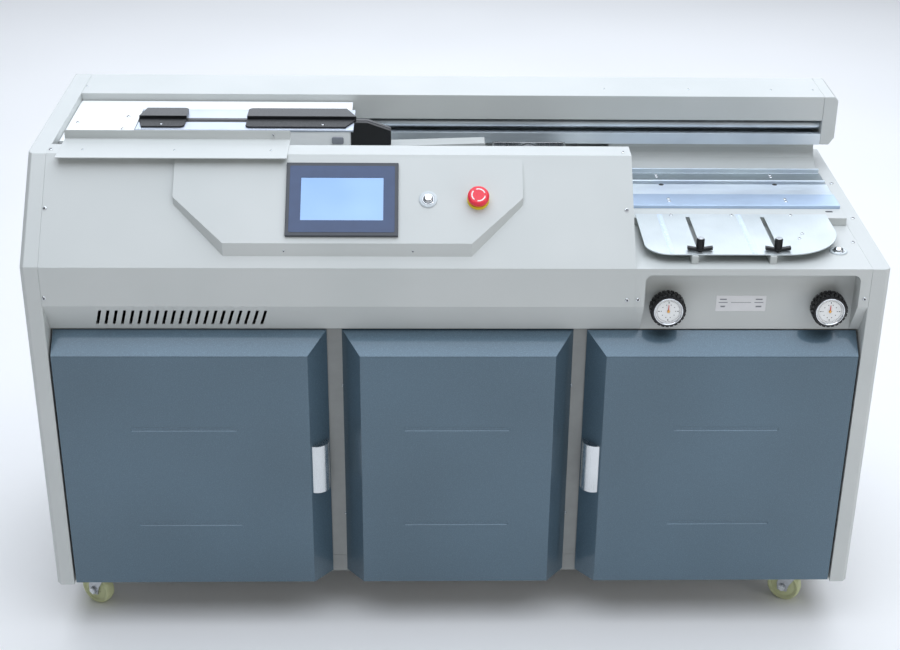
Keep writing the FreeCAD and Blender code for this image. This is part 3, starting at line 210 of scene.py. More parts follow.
paints = {
    # painted sheet steel
    "greyPaint": makeGreyPaint(),
    "whitePaint": makeWhitePaint(),
    "bluePaint": makeBluePaint(),
    # black enamel, a darker black that paints shade on the front jaw and a darker grey that paints shade on
    # the frame posts: dull coats that stay back behind the bright sheets
    "blackPaint": makePlastic("blackEnamel", "#1B1C1F", 0.35, 2.0, 0.25, "#141518"),
    # painted shade: the front jaw's black is a darker copy of the rear jaw's, for the shade on its front
    "jawBlack": makePlastic("blackOxide", "#111216", 0.5, 2.0, 0.2, "#0D0E11"),
    # painted shade: the frame posts are a darker grey for the shade in the gaps between the doors
    "framePrimer": makePlastic("darkPrimer", "#929492", 0.55, 2.0, 0.2, "#8C8E8C"),
    # rolled, ground and brushed metal: wide soft streaks of light
    "aluminium": makeMetal("anodisedAluminium", "#CDD0D2", 0.24, 2),
    "stainless": makeMetal("rolledStainless", "#E4EEFA", 0.48, 0, 0.6),
    # painted reflection: a bluer, darker copy of the stainless for the nipping station's front bar
    "barSteel": makeMetal("groundSteelBar", "#BED0E6", 0.44, 0, 0.6),
    # painted shade: a darker copy of the stainless for the rear plate under the beam
    "dullSteel": makeMetal("pickledSteel", "#98A1A5", 0.5, 0, 0.8),
    "satinSteel": makeMetal("satinStainless", "#CFD6D8", 0.42, 1, 0.6, 0.1),
    "plateSteel": makeMetal("groundClampPlate", "#C3CAD6", 0.4, 0, 0.6),
    "brushedAluminium": makeMetal("brushedAluminium", "#DDE4EA", 0.45, 0),
    # bright, plated and polished metal: small sharp reflections
    "steel": makeMetal("brightSteel", "#B9BCC0", 0.28, 1),
    "chrome": makeMetal("polishedChrome", "#D6D8DB", 0.07, 2, 1.0, 0.02),
    "brightZinc": makeMetal("brightZinc", "#D4D7DA", 0.25, 2, 1.2, 0.05),
    "brass": makeMetal("polishedBrass", "#D9A45A", 0.2, 2, 1.0, 0.02),
    # moulded nylon and ABS: an even satin sheen
    "blackPlastic": makePlastic("blackNylon", "#17181A", 0.42, 1.2, 0.3, "#101113"),
    "screenFrame": makePlastic("screenFrame", "#3D4148", 0.4, 1.5, 0.2, "#383C43"),
    "redPlastic": makePlastic("redAbs", "#EE3145", 0.3, 2.0, 0.05, "#E82B3F"),
    "yellowPlastic": makePlastic("yellowAbs", "#F2D81E", 0.35, 2.0, 0.08, "#EBCF17"),
    "buttonGrey": makePlastic("greyNylon", "#8E929A", 0.35, 1.5, 0.1, "#858991"),
    "wheelNylon": makePlastic("castorNylon", "#D2D6A9", 0.38, 1.5, 0.1, "#C6CB9A"),
    # glossy plastic and the lit pane: smooth, with a clean highlight
    "screenFace": makePlastic("screenFace", "#33486E", 0.22, 2.0, 0.02, "#304468"),
    "screenGlass": makeGlassFace(),
    "paleRing": makePlastic("clearPolycarbonate", "#C9D0D3", 0.2, 3.0, 0.05, "#C4CCD0"),
    # rubber: nearly no highlight
    "beltRubber": makePlastic("beltRubber", "#1A1A1A", 0.7, 1.0, 0.4, "#141414"),
    # dial enamel, foil and printed ink: flat tones with thin crisp marks; the black also paints the shade in
    # screw sockets and hole mouths
    "dialWhite": makePlastic("dialEnamel", "#F0F1F0", 0.35, 3.0, 0.02, "#E9EAE9"),
    "inkBlack": makePlastic("printedInk", "#202226", 0.5, 2.0, 0.02, "#1B1C20"),
    "inkGrey": makePlastic("greyInk", "#85878C", 0.5, 2.0, 0.02, "#7D7F84"),
    "pointerRed": makePlastic("pointerRed", "#D8402A", 0.4, 2.0, 0.02, "#CC3A25"),
    "markWhite": makePlastic("printedWhite", "#F4F2F0", 0.5, 2.0, 0.02, "#ECEAE8"),
    "labelSilver": makePlastic("labelFoil", "#E3E3E4", 0.4, 3.0, 0.03, "#DDDDDE"),
    "rulerFilm": makePlastic("rulerFilm", "#D3E2F5", 0.25, 4.0, 0.02, "#CBDBF0"),
}
slotPaint = {
    "grey_paint": "greyPaint", "blue_paint": "bluePaint", "white_paint": "whitePaint",
    "black_paint": "blackPaint", "aluminium": "aluminium", "steel": "steel", "chrome": "chrome",
    "black_plastic": "blackPlastic", "screen_plastic": "screenFrame", "red_plastic": "redPlastic",
    "yellow_plastic": "yellowPlastic", "clear_plastic": "paleRing", "wheel_nylon": "wheelNylon",
    "belt_rubber": "beltRubber",
}
paintOf = {node: slotPaint[slotOf[node]] for node in nodes}
paintOf.update({
    "cover_feed_plate": "satinSteel", "nip_front_jaw": "stainless", "nip_rear_jaw": "stainless",
    "front_clamp_plate": "plateSteel", "rear_clamp_plate": "plateSteel", "guide_rails": "brushedAluminium",
    "front_jaw": "jawBlack", "cabinet_frame": "framePrimer",
})
for node, obj in nodes.items():
    obj.data.materials.clear()
    obj.data.materials.append(paints[paintOf[node]])
print("materials ready")


# mesh helpers

def meshPiece(name, mesh, paint, body, *replaced):
    # finished piece: material, body and slot in one place
    obj = bpy.data.objects.new(name, mesh)
    scene.collection.objects.link(obj)
    obj.data.materials.clear()
    for key in ([paint] if isinstance(paint, str) else paint):
        obj.data.materials.append(paints[key])
    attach(obj, body)
    if replaced:
        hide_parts(*replaced)
    return obj


def fromBmesh(name, bm, smooth=True):
    mesh = bpy.data.meshes.new(name)
    bmesh.ops.recalc_face_normals(bm, faces=bm.faces)
    bm.to_mesh(mesh)
    bm.free()
    if smooth:
        mesh.polygons.foreach_set("use_smooth", [True] * len(mesh.polygons))
        mesh.set_sharp_from_angle(angle=math.radians(35))
    return mesh


def mergedCopy(node):
    # CAD mesh with its doubles merged and its flat faces joined
    bm = bmesh.new()
    bm.from_mesh(nodes[node].data)
    bmesh.ops.remove_doubles(bm, verts=bm.verts, dist=1e-5)
    bmesh.ops.dissolve_limit(
        bm, angle_limit=math.radians(1.0), verts=bm.verts, edges=bm.edges, delimit=set(),
    )
    return bm


def soften(node, widthMm, segments=2, shortestMm=0.0, cornerDegrees=30):
    # dressed copy of a CAD node with its edges rounded, which stands for the node; with a shortest
    # length given, the edges under it stay crisp and the flat faces are shaded flat
    bm = mergedCopy(node)
    weights = bm.edges.layers.float.new("bevel_weight_edge")
    for edge in bm.edges:
        turned = len(edge.link_faces) == 2 and edge.calc_face_angle(0) > math.radians(cornerDegrees)
        edge[weights] = float(turned and edge.calc_length() > shortestMm * mm)
    smooth = shortestMm == 0.0
    obj = meshPiece(node + "_dressed", fromBmesh(node + "_dressed", bm), paintOf[node], bodyOf[node], node)
    bevel = obj.modifiers.new("roundedEdges", "BEVEL")
    bevel.width = widthMm * mm
    bevel.segments = segments
    bevel.limit_method = "WEIGHT"
    bevel.harden_normals = smooth
    if smooth:
        obj.data.set_sharp_from_angle(angle=math.radians(cornerDegrees))
    else:
        obj.data.shade_flat()
    return obj


def lathe(profile, segments=48):
    # closed shape turned about Z; profile is (radius, height) in mm from the axis up and back to it
    bm = bmesh.new()
    rings = []
    for radius, height in profile:
        if radius < 1e-6:
            rings.append([bm.verts.new((0, 0, height * mm))])
            continue
        rings.append([
            bm.verts.new((
                radius * mm * math.cos(2 * math.pi * i / segments),
                radius * mm * math.sin(2 * math.pi * i / segments), height * mm,
            ))
            for i in range(segments)
        ])
    for low, high in zip(rings, rings[1:]):
        for i in range(segments):
            j = (i + 1) % segments
            corners = [low[i % len(low)], low[j % len(low)], high[j % len(high)], high[i % len(high)]]
            unique = list(dict.fromkeys(corners))
            if len(unique) > 2:
                bm.faces.new(unique)
    return bm


def extruded(outline, low, high):
    # closed plate with an XY outline in mm, from low to high
    bm = bmesh.new()
    foot = [bm.verts.new((x * mm, y * mm, low * mm)) for x, y in outline]
    top = [bm.verts.new((x * mm, y * mm, high * mm)) for x, y in outline]
    bm.faces.new(foot[::-1])
    bm.faces.new(top)
    for i in range(len(outline)):
        j = (i + 1) % len(outline)
        bm.faces.new([foot[i], foot[j], top[j], top[i]])
    return bm


def roundedRect(width, height, radius, steps=6):
    # outline in mm, centred
    points = []
    for cornerX, cornerY, start in ((1, 1, 0), (-1, 1, 90), (-1, -1, 180), (1, -1, 270)):
        for i in range(steps + 1):
            angle = math.radians(start + 90 * i / steps)
            points.append((
                cornerX * (width / 2 - radius) + radius * math.cos(angle),
                cornerY * (height / 2 - radius) + radius * math.sin(angle),
            ))
    return points


def bevelSome(bm, widthMm, segments=2, degrees=30):
    # rounds the sharp edges of a closed shape
    bm.normal_update()
    edges = [e for e in bm.edges if len(e.link_faces) == 2 and e.calc_face_angle(0) > math.radians(degrees)]
    bmesh.ops.bevel(
        bm, geom=edges, offset=widthMm * mm, offset_type="OFFSET", segments=segments, profile=0.5,
        affect="EDGES", clamp_overlap=True,
    )
    return bm


def placed(bm, place):
    bm.transform(place)
    return bm


def standing(point, outward, up=Vector((0, 0, 1))):
    # matrix that puts local Z along outward and local Y as near up as it can
    z = Vector(outward).normalized()
    x = up.cross(z)
    if x.length < 1e-6:
        x = Vector((1, 0, 0))
    x.normalize()
    y = z.cross(x)
    return Matrix.Translation(point) @ Matrix((x, y, z)).transposed().to_4x4()


def joined(parts):
    # one bmesh of several
    whole = bmesh.new()
    for part in parts:
        mesh = bpy.data.meshes.new("part")
        part.to_mesh(mesh)
        part.free()
        whole.from_mesh(mesh)
        bpy.data.meshes.remove(mesh)
    return whole


def loosePieces(bm):
    # the vertices of a mesh, grouped by connection
    left = set(bm.verts)
    groups = []
    while left:
        group = set()
        waiting = [left.pop()]
        while waiting:
            vert = waiting.pop()
            group.add(vert)
            for edge in vert.link_edges:
                other = edge.other_vert(vert)
                if other in left:
                    left.discard(other)
                    waiting.append(other)
        groups.append(group)
    return groups


def roundPiece(obj, widthMm, segments=2):
    bevel = obj.modifiers.new("roundedEdges", "BEVEL")
    bevel.width = widthMm * mm
    bevel.segments = segments
    bevel.limit_method = "ANGLE"
    bevel.harden_normals = True
    return obj


def paintLow(bm, limitMm):
    # loose pieces lower than the limit take the second paint
    for group in loosePieces(bm):
        heights = [vert.co.z for vert in group]
        if max(heights) - min(heights) < limitMm * mm:
            for face in {face for vert in group for face in vert.link_faces}:
                face.material_index = 1


# machine lines read from the frame

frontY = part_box("left_side_panel")[0].y
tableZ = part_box("right_side_panel")[1].z


def deep(distance):
    return frontY + distance * mm


def rise(height):
    return tableZ + height * mm


# sheet and machined pieces: CAD copies with rounded edges

edgeWidths = {
    "left_side_panel": 1.6, "right_side_panel": 1.6, "console_cover": 1.2, "control_panel": 3.0,
    "support_tray": 0.6, "beam_cover": 1.4, "beam_end_cap": 1.8, "table_top": 1.0,
    "left_door": 3.5, "right_door": 3.5, "middle_cover": 3.5, "cabinet_frame": 1.2,
    "cover_platform": 1.0, "cover_feed_plate": 0.4, "nip_front_jaw": 0.8, "nip_rear_jaw": 0.8,
    "nip_bottom_plate": 0.5, "carriage_frame": 0.8, "front_clamp_box": 1.0, "front_clamp_plate": 0.5,
    "rear_clamp_plate": 0.5, "rear_jaw": 1.4, "front_jaw": 0.9, "milling_guard": 0.6,
    "glue_tank": 0.8, "left_stop": 0.5, "right_stop": 0.5,
}
# covers whose pressed grooves stay crisp: their edges under shortestMm aren't rounded
pressedCovers = ("left_door", "right_door", "middle_cover")
pressedEdge = {"segments": 3, "shortestMm": 210.0}
softened = {
    node: soften(node, width, **(pressedEdge if node in pressedCovers else {}))
    for node, width in edgeWidths.items()
}
print("softened", len(softened), "nodes")


# pieces in two paints: the chromed rods on their rail, and the nipping station's stainless with a painted
# reflection on its front bar and painted shade on its rear plate

regionValues = {"barDepth": 60.5, "frontLip": 6.5, "backLip": 4.5, "rodHeight": 21.0, "rodEdge": 0.6}


def recolour(obj, paint, rule):
    # faces whose middle passes the rule take another paint
    obj.data.materials.append(paints[paint])
    for face in obj.data.polygons:
        if rule(face.center):
            face.material_index = len(obj.data.materials) - 1


def makeRegions(v):
    lo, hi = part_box("nip_front_jaw")
    barBack = lo.y + v["barDepth"] * mm
    # painted reflection: the front bar takes the bluer, darker stainless
    recolour(softened["nip_front_jaw"], "barSteel", lambda middle: middle.y < barBack)
    rearLo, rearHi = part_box("nip_rear_jaw")
    plateFront = rearLo.y + v["frontLip"] * mm
    plateBack = rearHi.y - v["backLip"] * mm
    # painted shade: the rear plate between its lips takes the darker stainless
    recolour(softened["nip_rear_jaw"], "dullSteel", lambda middle: plateFront < middle.y < plateBack)


def makeRails(v):
    # the round rods are chromed, the rail that carries them is brushed
    bm = mergedCopy("guide_rails")
    paintLow(bm, v["rodHeight"])
    rails = meshPiece(
        "guideRailsDressed", fromBmesh("guideRailsDressed", bm), ["brushedAluminium", "chrome"],
        bodyOf["guide_rails"], "guide_rails",
    )
    roundPiece(rails, v["rodEdge"])


makeRegions(regionValues)
makeRails(regionValues)


# Geometry Nodes trees for what repeats

def newTree(name, *inputs):
    # geometry in and out, and the named inputs given as (name, socket kind)
    tree = bpy.data.node_groups.new(name, "GeometryNodeTree")
    tree.interface.new_socket("Geometry", in_out="INPUT", socket_type="NodeSocketGeometry")
    for label, kind in inputs:
        tree.interface.new_socket(label, in_out="INPUT", socket_type=kind)
    tree.interface.new_socket("Geometry", in_out="OUTPUT", socket_type="NodeSocketGeometry")
    return tree, addNode(tree, "NodeGroupInput").outputs


def closeTree(tree, instances):
    # the instances made real, with the tree's own material
    entry = next(node for node in tree.nodes if node.bl_idname == "NodeGroupInput")
    real = addNode(tree, "GeometryNodeRealizeInstances", links={"Geometry": instances})
    painted = addNode(tree, "GeometryNodeSetMaterial", links={
        "Geometry": real.outputs[0], "Material": entry.outputs["Material"],
    })
    addNode(tree, "NodeGroupOutput", links={"Geometry": painted.outputs[0]})
    return tree


def makeDomeTree():
    # a flattened dome on each point, standing along the point's outward vector
    tree, given = newTree(
        "domeHeads", ("Material", "NodeSocketMaterial"), ("Radius", "NodeSocketFloat"),
        ("Height", "NodeSocketFloat"),
    )
    ball = addNode(tree, "GeometryNodeMeshUVSphere", values={"Segments": 20, "Rings": 10, "Radius": 1.0})
    scale = addNode(tree, "ShaderNodeCombineXYZ", links={
        "X": given["Radius"], "Y": given["Radius"], "Z": given["Height"],
    })
    return closeTree(tree, onPoints(tree, given, ball, scale))


def makeStudTree():
    # a cone or prism on each point, with its own number of sides
    tree, given = newTree(
        "studs", ("Material", "NodeSocketMaterial"), ("Sides", "NodeSocketInt"),
        ("Bottom Radius", "NodeSocketFloat"), ("Top Radius", "NodeSocketFloat"),
        ("Height", "NodeSocketFloat"),
    )
    stud = addNode(tree, "GeometryNodeMeshCone", links={
        "Vertices": given["Sides"], "Radius Bottom": given["Bottom Radius"],
        "Radius Top": given["Top Radius"], "Depth": given["Height"],
    })
    scale = addNode(tree, "ShaderNodeCombineXYZ", values={"X": 1.0, "Y": 1.0, "Z": 1.0})
    return closeTree(tree, onPoints(tree, given, stud, scale))


def onPoints(tree, given, piece, scale):
    # instances of the piece on the incoming points, turned to their outward vectors
    outward = addNode(
        tree, "GeometryNodeInputNamedAttribute", {"data_type": "FLOAT_VECTOR"}, values={"Name": "outward"},
    )
    turn = addNode(
        tree, "FunctionNodeAlignRotationToVector", {"axis": "Z"}, {"Vector": outward.outputs["Attribute"]},
    )
    return addNode(tree, "GeometryNodeInstanceOnPoints", links={
        "Points": given["Geometry"], "Instance": piece.outputs["Mesh"], "Rotation": turn.outputs[0],
        "Scale": scale.outputs[0],
    }).outputs[0]


def makeRingTree():
    # blocks in a ring about Z, each turned to face outwards
    tree, given = newTree(
        "ringOfBlocks", ("Material", "NodeSocketMaterial"), ("Count", "NodeSocketInt"),
        ("Radius", "NodeSocketFloat"), ("Size", "NodeSocketVector"), ("Start Turn", "NodeSocketFloat"),
    )
    circle = addNode(tree, "GeometryNodeMeshCircle", links={
        "Vertices": given["Count"], "Radius": given["Radius"],
    })
    index = addNode(tree, "GeometryNodeInputIndex")
    share = addNode(tree, "ShaderNodeMath", {"operation": "DIVIDE"}, {0: index.outputs[0], 1: given["Count"]})
    angle = addNode(
        tree, "ShaderNodeMath", {"operation": "MULTIPLY"}, {0: share.outputs[0]}, {1: 2 * math.pi},
    )
    turn = addNode(tree, "ShaderNodeCombineXYZ", links={"Z": angle.outputs[0]})
    cube = addNode(tree, "GeometryNodeMeshCube", links={"Size": given["Size"]})
    blocks = addNode(tree, "GeometryNodeInstanceOnPoints", links={
        "Points": circle.outputs["Mesh"], "Instance": cube.outputs["Mesh"], "Rotation": turn.outputs[0],
    })
    start = addNode(tree, "ShaderNodeCombineXYZ", links={"Z": given["Start Turn"]})
    whole = addNode(
        tree, "GeometryNodeTransform", links={"Geometry": blocks.outputs[0], "Rotation": start.outputs[0]},
    )
    return closeTree(tree, whole.outputs[0])


def makeScaleTree():
    # graduation lines along Y, every fifth one longer
    tree, given = newTree(
        "graduations", ("Material", "NodeSocketMaterial"), ("Count", "NodeSocketInt"),
        ("Pitch", "NodeSocketFloat"), ("Length", "NodeSocketFloat"), ("Line Width", "NodeSocketFloat"),
        ("Height", "NodeSocketFloat"),
    )
    step = addNode(tree, "ShaderNodeCombineXYZ", links={"Y": given["Pitch"]})
    line = addNode(tree, "GeometryNodeMeshLine", links={"Count": given["Count"], "Offset": step.outputs[0]})
    index = addNode(tree, "GeometryNodeInputIndex")
    fifth = addNode(tree, "ShaderNodeMath", {"operation": "MODULO"}, {0: index.outputs[0]}, {1: 5.0})
    isLong = addNode(tree, "ShaderNodeMath", {"operation": "LESS_THAN"}, {0: fifth.outputs[0]}, {1: 0.5})
    factor = addNode(
        tree, "ShaderNodeMath", {"operation": "MULTIPLY_ADD"}, {0: isLong.outputs[0]}, {1: 0.7, 2: 1.0},
    )
    reach = addNode(
        tree, "ShaderNodeMath", {"operation": "MULTIPLY"}, {0: factor.outputs[0], 1: given["Length"]},
    )
    size = addNode(tree, "ShaderNodeCombineXYZ", links={
        "X": reach.outputs[0], "Y": given["Line Width"], "Z": given["Height"],
    })
    cube = addNode(tree, "GeometryNodeMeshCube", values={"Size": (1.0, 1.0, 1.0)})
    marks = addNode(tree, "GeometryNodeInstanceOnPoints", links={
        "Points": line.outputs["Mesh"], "Instance": cube.outputs["Mesh"], "Scale": size.outputs[0],
    })
    return closeTree(tree, marks.outputs[0])


def grown(name, tree, body, paint, settings, place=None, points=((Vector((0, 0, 0)), Vector((0, 0, 1))),)):
    # plain mesh of what a tree makes; points are (place, outward) pairs for the trees that read them
    base = bpy.data.meshes.new(name + "Points")
    base.from_pydata([tuple(point) for point, outward in points], [], [])
    vectors = base.attributes.new("outward", "FLOAT_VECTOR", "POINT")
    vectors.data.foreach_set("vector", [part for point, outward in points for part in outward])
    carrier = bpy.data.objects.new(name + "Carrier", base)
    scene.collection.objects.link(carrier)
    modifier = carrier.modifiers.new("grow", "NODES")
    modifier.node_group = tree
    identifiers = {
        item.name: item.identifier for item in tree.interface.items_tree if item.in_out == "INPUT"
    }
    modifier[identifiers["Material"]] = paints[paint]
    for label, value in settings.items():
        modifier[identifiers[label]] = value
    evaluated = carrier.evaluated_get(bpy.context.evaluated_depsgraph_get())
    mesh = bpy.data.meshes.new_from_object(evaluated)
    bpy.data.objects.remove(carrier)
    mesh.transform(place or Matrix())
    mesh.name = name
    return meshPiece(name, mesh, paint, body)


domeTree = makeDomeTree()
studTree = makeStudTree()
ringTree = makeRingTree()
scaleTree = makeScaleTree()


def ringOf(name, body, paint, count, radius, size, place, startTurn=0.0):
    # a ring of blocks; radius and size in mm
    return grown(name, ringTree, body, paint, {
        "Count": count, "Radius": radius * mm, "Size": [side * mm for side in size], "Start Turn": startTurn,
    }, place)


def spot(x, deepMm, riseMm):
    # a point given in mm: X, depth behind the front plane, height over the right table
    return Vector((x * mm, deep(deepMm), rise(riseMm)))


up = Vector((0, 0, 1))
sideways = Vector((1, 0, 0))
front = Vector((0, -1, 0))
back = Vector((0, 1, 0))


# screws: domed heads, each with a black hexagon on top that paints the shade inside its socket

screwValues = {"radius": 4.1, "height": 2.2, "socketRadius": 2.0, "socketHeight": 0.5, "socketSeat": 0.82}


def makeScrews(name, body, points, v=screwValues, size=1.0):
    grown(name, domeTree, body, "brightZinc", {
        "Radius": v["radius"] * size * mm, "Height": v["height"] * size * mm,
    }, points=points)
    seat = v["height"] * size * v["socketSeat"] * mm
    socketRadius = v["socketRadius"] * size * mm
    # painted shade: a thin black hexagon stands for the dark inside of each socket
    grown(name + "Sockets", studTree, body, "inkBlack", {
        "Sides": 6, "Bottom Radius": socketRadius, "Top Radius": socketRadius,
        "Height": v["socketHeight"] * size * mm,
    }, points=[(point + outward * seat, outward) for point, outward in points])


# the console's slanted face runs this far back and up, in mm
slopeUp = Vector((0, 156, 162)).normalized()
slopeOut = Vector((0, -slopeUp.z, slopeUp.y))
joints = {joint["name"]: joint for joint in frame["record"]["behaviour"]["joints"]}
panelOut = -Vector(joints["power_button_press"]["axis"])

makeScrews("coverScrews", "cabinet", [
    (spot(-760, 80, 83.1), slopeOut), (spot(313, 80, 83.1), slopeOut),
    (spot(-760, 0, -62), front), (spot(313, 0, -64), front),
    (spot(333, 0, -63), front), (spot(757, 0, -61), front),
    (spot(312, 173, 162), up), (spot(-760, 176, 162), up),
    (spot(785, 240, 0), up), (spot(785, 425, 0), up), (spot(757, 123, 0), up),
])
makeScrews("beamScrews", "cabinet", [
    (spot(x, 548, 162), up) for x in (-761, 314, 491, 665, 754)
], size=0.6)
makeScrews("panelFootScrews", "cabinet", [(spot(x, 16, 27), front) for x in (-320, -84)], size=0.6)
makeScrews("trayScrews", "cabinet", [(spot(x, 170, 164), up) for x in (-700, -530, -350)], size=0.6)
makeScrews("trayBackScrews", "cabinet", [(spot(-350, 228, 173), front)], size=0.6)
makeScrews("platformScrews", "cabinet", [
    (spot(x, 212, 18), up) for x in (418, 537, 653)
] + [(spot(657, 122, 18), up), (spot(647, 99, 18), up)], size=0.9)
makeScrews("rearLipScrews", "cabinet", [(spot(x, 459, 3.2), up) for x in (425, 665)])
makeScrews("rearPlateScrews", "cabinet", [
    (spot(x, y, 14), up) for x in (418, 656) for y in (424, 434)
], size=0.9)
makeScrews("nipBarScrews", "nip_front_jaw", [
    (spot(x, y, 22), up) for x in (423, 656) for y in (273, 285)
], size=0.9)
makeScrews("deckScrews", "carriage", [
    (spot(x, y, 147), up) for x, y in ((-654, 403), (-654, 331), (-748, 367))
])
makeScrews("padScrews", "front_clamp", [(spot(x, 352, 150), up) for x in (-582, -264)], size=0.7)
makeScrews("middleCoverScrews", "cabinet", [
    (Vector((wall.x, spot(0, 38, 0).y, rise(z))), outward)
    for wall, outward in zip(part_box("middle_cover"), (-sideways, sideways)) for z in (-265, -557)
], size=0.7)
backScrewRows = {
    -680: (-745, -370, 0, 370, 745), -500: (-745, 745), -340: (-745, 745), -170: (-745, 745),
    30: (-745, -370, 0, 370, 745),
}
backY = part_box("back_panel")[1].y
makeScrews("backPanelScrews", "cabinet", [
    (Vector((x * mm, backY, rise(z))), back) for z, columns in backScrewRows.items() for x in columns
])
print("screws ready")


# touch screen: dark bezel, blue-grey face and a lit pane

screenValues = {
    "proud": 3.0, "edge": 2.0, "face": (194, 136), "faceThick": 0.5, "radius": 3,
    "lit": (152, 87), "litRadius": 1.0, "litHeights": (-0.6, -0.35), "rim": (152.6, 87.6), "rimRadius": 1.5,
}


def makeTouchScreen(v):
    lo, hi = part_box("touch_screen")
    seat = standing((lo + hi) / 2 + panelOut * v["proud"] * mm, panelOut)
    soften("touch_screen", v["edge"], 3)
    # the face is a flat frame round the lit pane
    face = frameOf(
        roundedRect(*v["face"], v["radius"]), roundedRect(*v["rim"], v["rimRadius"]), -0.1, v["faceThick"],
    )
    meshPiece("screenFacePlate", fromBmesh("screenFacePlate", placed(face, seat)), "screenFace", "cabinet")
    pane = extruded(roundedRect(*v["lit"], v["litRadius"]), *v["litHeights"])
    meshPiece("screenPane", fromBmesh("screenPane", placed(pane, seat)), "screenGlass", "cabinet")


def frameOf(outer, inner, low, high):
    # flat ring between two outlines with the same number of points
    bm = bmesh.new()
    loops = []
    for outline in (outer, inner):
        for height in (low, high):
            loops.append([bm.verts.new((x * mm, y * mm, height * mm)) for x, y in outline])
    outerLow, outerHigh, innerLow, innerHigh = loops
    count = len(outer)
    for a, b in ((outerLow, outerHigh), (outerHigh, innerHigh), (innerHigh, innerLow), (innerLow, outerLow)):
        for i in range(count):
            j = (i + 1) % count
            bm.faces.new([a[i], a[j], b[j], b[i]])
    return bm


makeTouchScreen(screenValues)
print("touch screen ready")


# push buttons and emergency stop

buttonValues = {
    "head": [
        (0, -18.5), (6, -18.5), (6, 3.5), (9, 3.5), (9, 4.6), (8.5, 6.1), (6.9, 7.5), (4.0, 8.3), (0, 8.5),
    ],
    "ring": [
        (9.3, 0), (17, 0), (17, 1.2), (16.4, 2.0), (15, 2.5), (11.2, 2.5), (10.2, 2.1), (9.3, 1.4), (9.3, 0),
    ],
    "bezel": [(9.3, 1.2), (11.6, 1.2), (11.6, 2.5), (10.9, 3.0), (9.9, 3.0), (9.3, 2.4), (9.3, 1.2)],
    "stopHead": [
        (0, -19.5), (9, -19.5), (9, 10.5), (15.5, 10.5), (18.6, 10.8), (20, 12.0), (20, 15.6), (19.5, 17.7),
        (18.0, 19.6), (15.6, 20.6), (13.8, 20.8), (7, 20.6), (0, 20.5),
    ],
    "stopBase": [(9.2, 0), (20.5, 0), (20.5, 1.6), (19.9, 2.2), (19.7, 5.4), (19.2, 6), (9.2, 6), (9.2, 0)],
    "stopBaseHeight": 6.0, "arrowRadius": 12.2, "arrowWidth": 2.3, "arrowSpan": 84,
    "arrowStarts": (20, 140, 260), "arrowHeights": (20.5, 21.0),
}


def turned(name, profile, place, segments=64):
    bm = lathe(profile, segments)
    bmesh.ops.remove_doubles(bm, verts=bm.verts, dist=1e-6)
    return fromBmesh(name, placed(bm, place))


def arcOutline(radius, width, start, span, steps=16):
    # curved bar with a pointed end
    outer, inner = [], []
    for i in range(steps + 1):
        angle = math.radians(start + span * i / steps)
        outer.append(((radius + width / 2) * math.cos(angle), (radius + width / 2) * math.sin(angle)))
        inner.append(((radius - width / 2) * math.cos(angle), (radius - width / 2) * math.sin(angle)))
    tip = math.radians(start + span + 10)
    return outer + [(radius * math.cos(tip), radius * math.sin(tip))] + inner[::-1]


def makeButtons(v):
    lo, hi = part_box("estop_base")
    stopFoot = (lo + hi) / 2 - panelOut * v["stopBaseHeight"] / 2 * mm
    stopPlace = standing(stopFoot, panelOut)
    powerX = sum(corner.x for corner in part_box("power_button")) / 2
    powerPlace = standing(Vector((powerX, stopFoot.y, stopFoot.z)), panelOut)
    lo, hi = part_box("start_button")
    startPlace = Matrix.Translation(Vector(((lo.x + hi.x) / 2, (lo.y + hi.y) / 2, tableZ)))
    for node, place in (("power_button", powerPlace), ("start_button", startPlace)):
        meshPiece(node + "_turned", turned(node + "_turned", v["head"], place), "chrome", bodyOf[node], node)
    rings = joined([placed(lathe(v["ring"], 64), place) for place in (powerPlace, startPlace)])
    meshPiece("buttonRingPair", fromBmesh("buttonRingPair", rings), "paleRing", "cabinet", "button_rings")
    bezels = joined([placed(lathe(v["bezel"], 64), place) for place in (powerPlace, startPlace)])
    meshPiece("buttonBezels", fromBmesh("buttonBezels", bezels), "chrome", "cabinet")
    stopBody = bodyOf["estop_button"]
    mushroom = turned("stopMushroom", v["stopHead"], stopPlace)
    meshPiece("stopMushroom", mushroom, "redPlastic", stopBody, "estop_button")
    collar = turned("stopCollar", v["stopBase"], stopPlace)
    meshPiece("stopCollar", collar, "yellowPlastic", "cabinet", "estop_base")
    outlines = [
        arcOutline(v["arrowRadius"], v["arrowWidth"], start, v["arrowSpan"]) for start in v["arrowStarts"]
    ]
    arrows = joined([placed(extruded(outline, *v["arrowHeights"]), stopPlace) for outline in outlines])
    meshPiece("stopArrows", fromBmesh("stopArrows", arrows), "markWhite", stopBody)


makeButtons(buttonValues)
print("buttons ready")


# dial handwheels: treaded rim, chrome bezel, white dial and red pointer

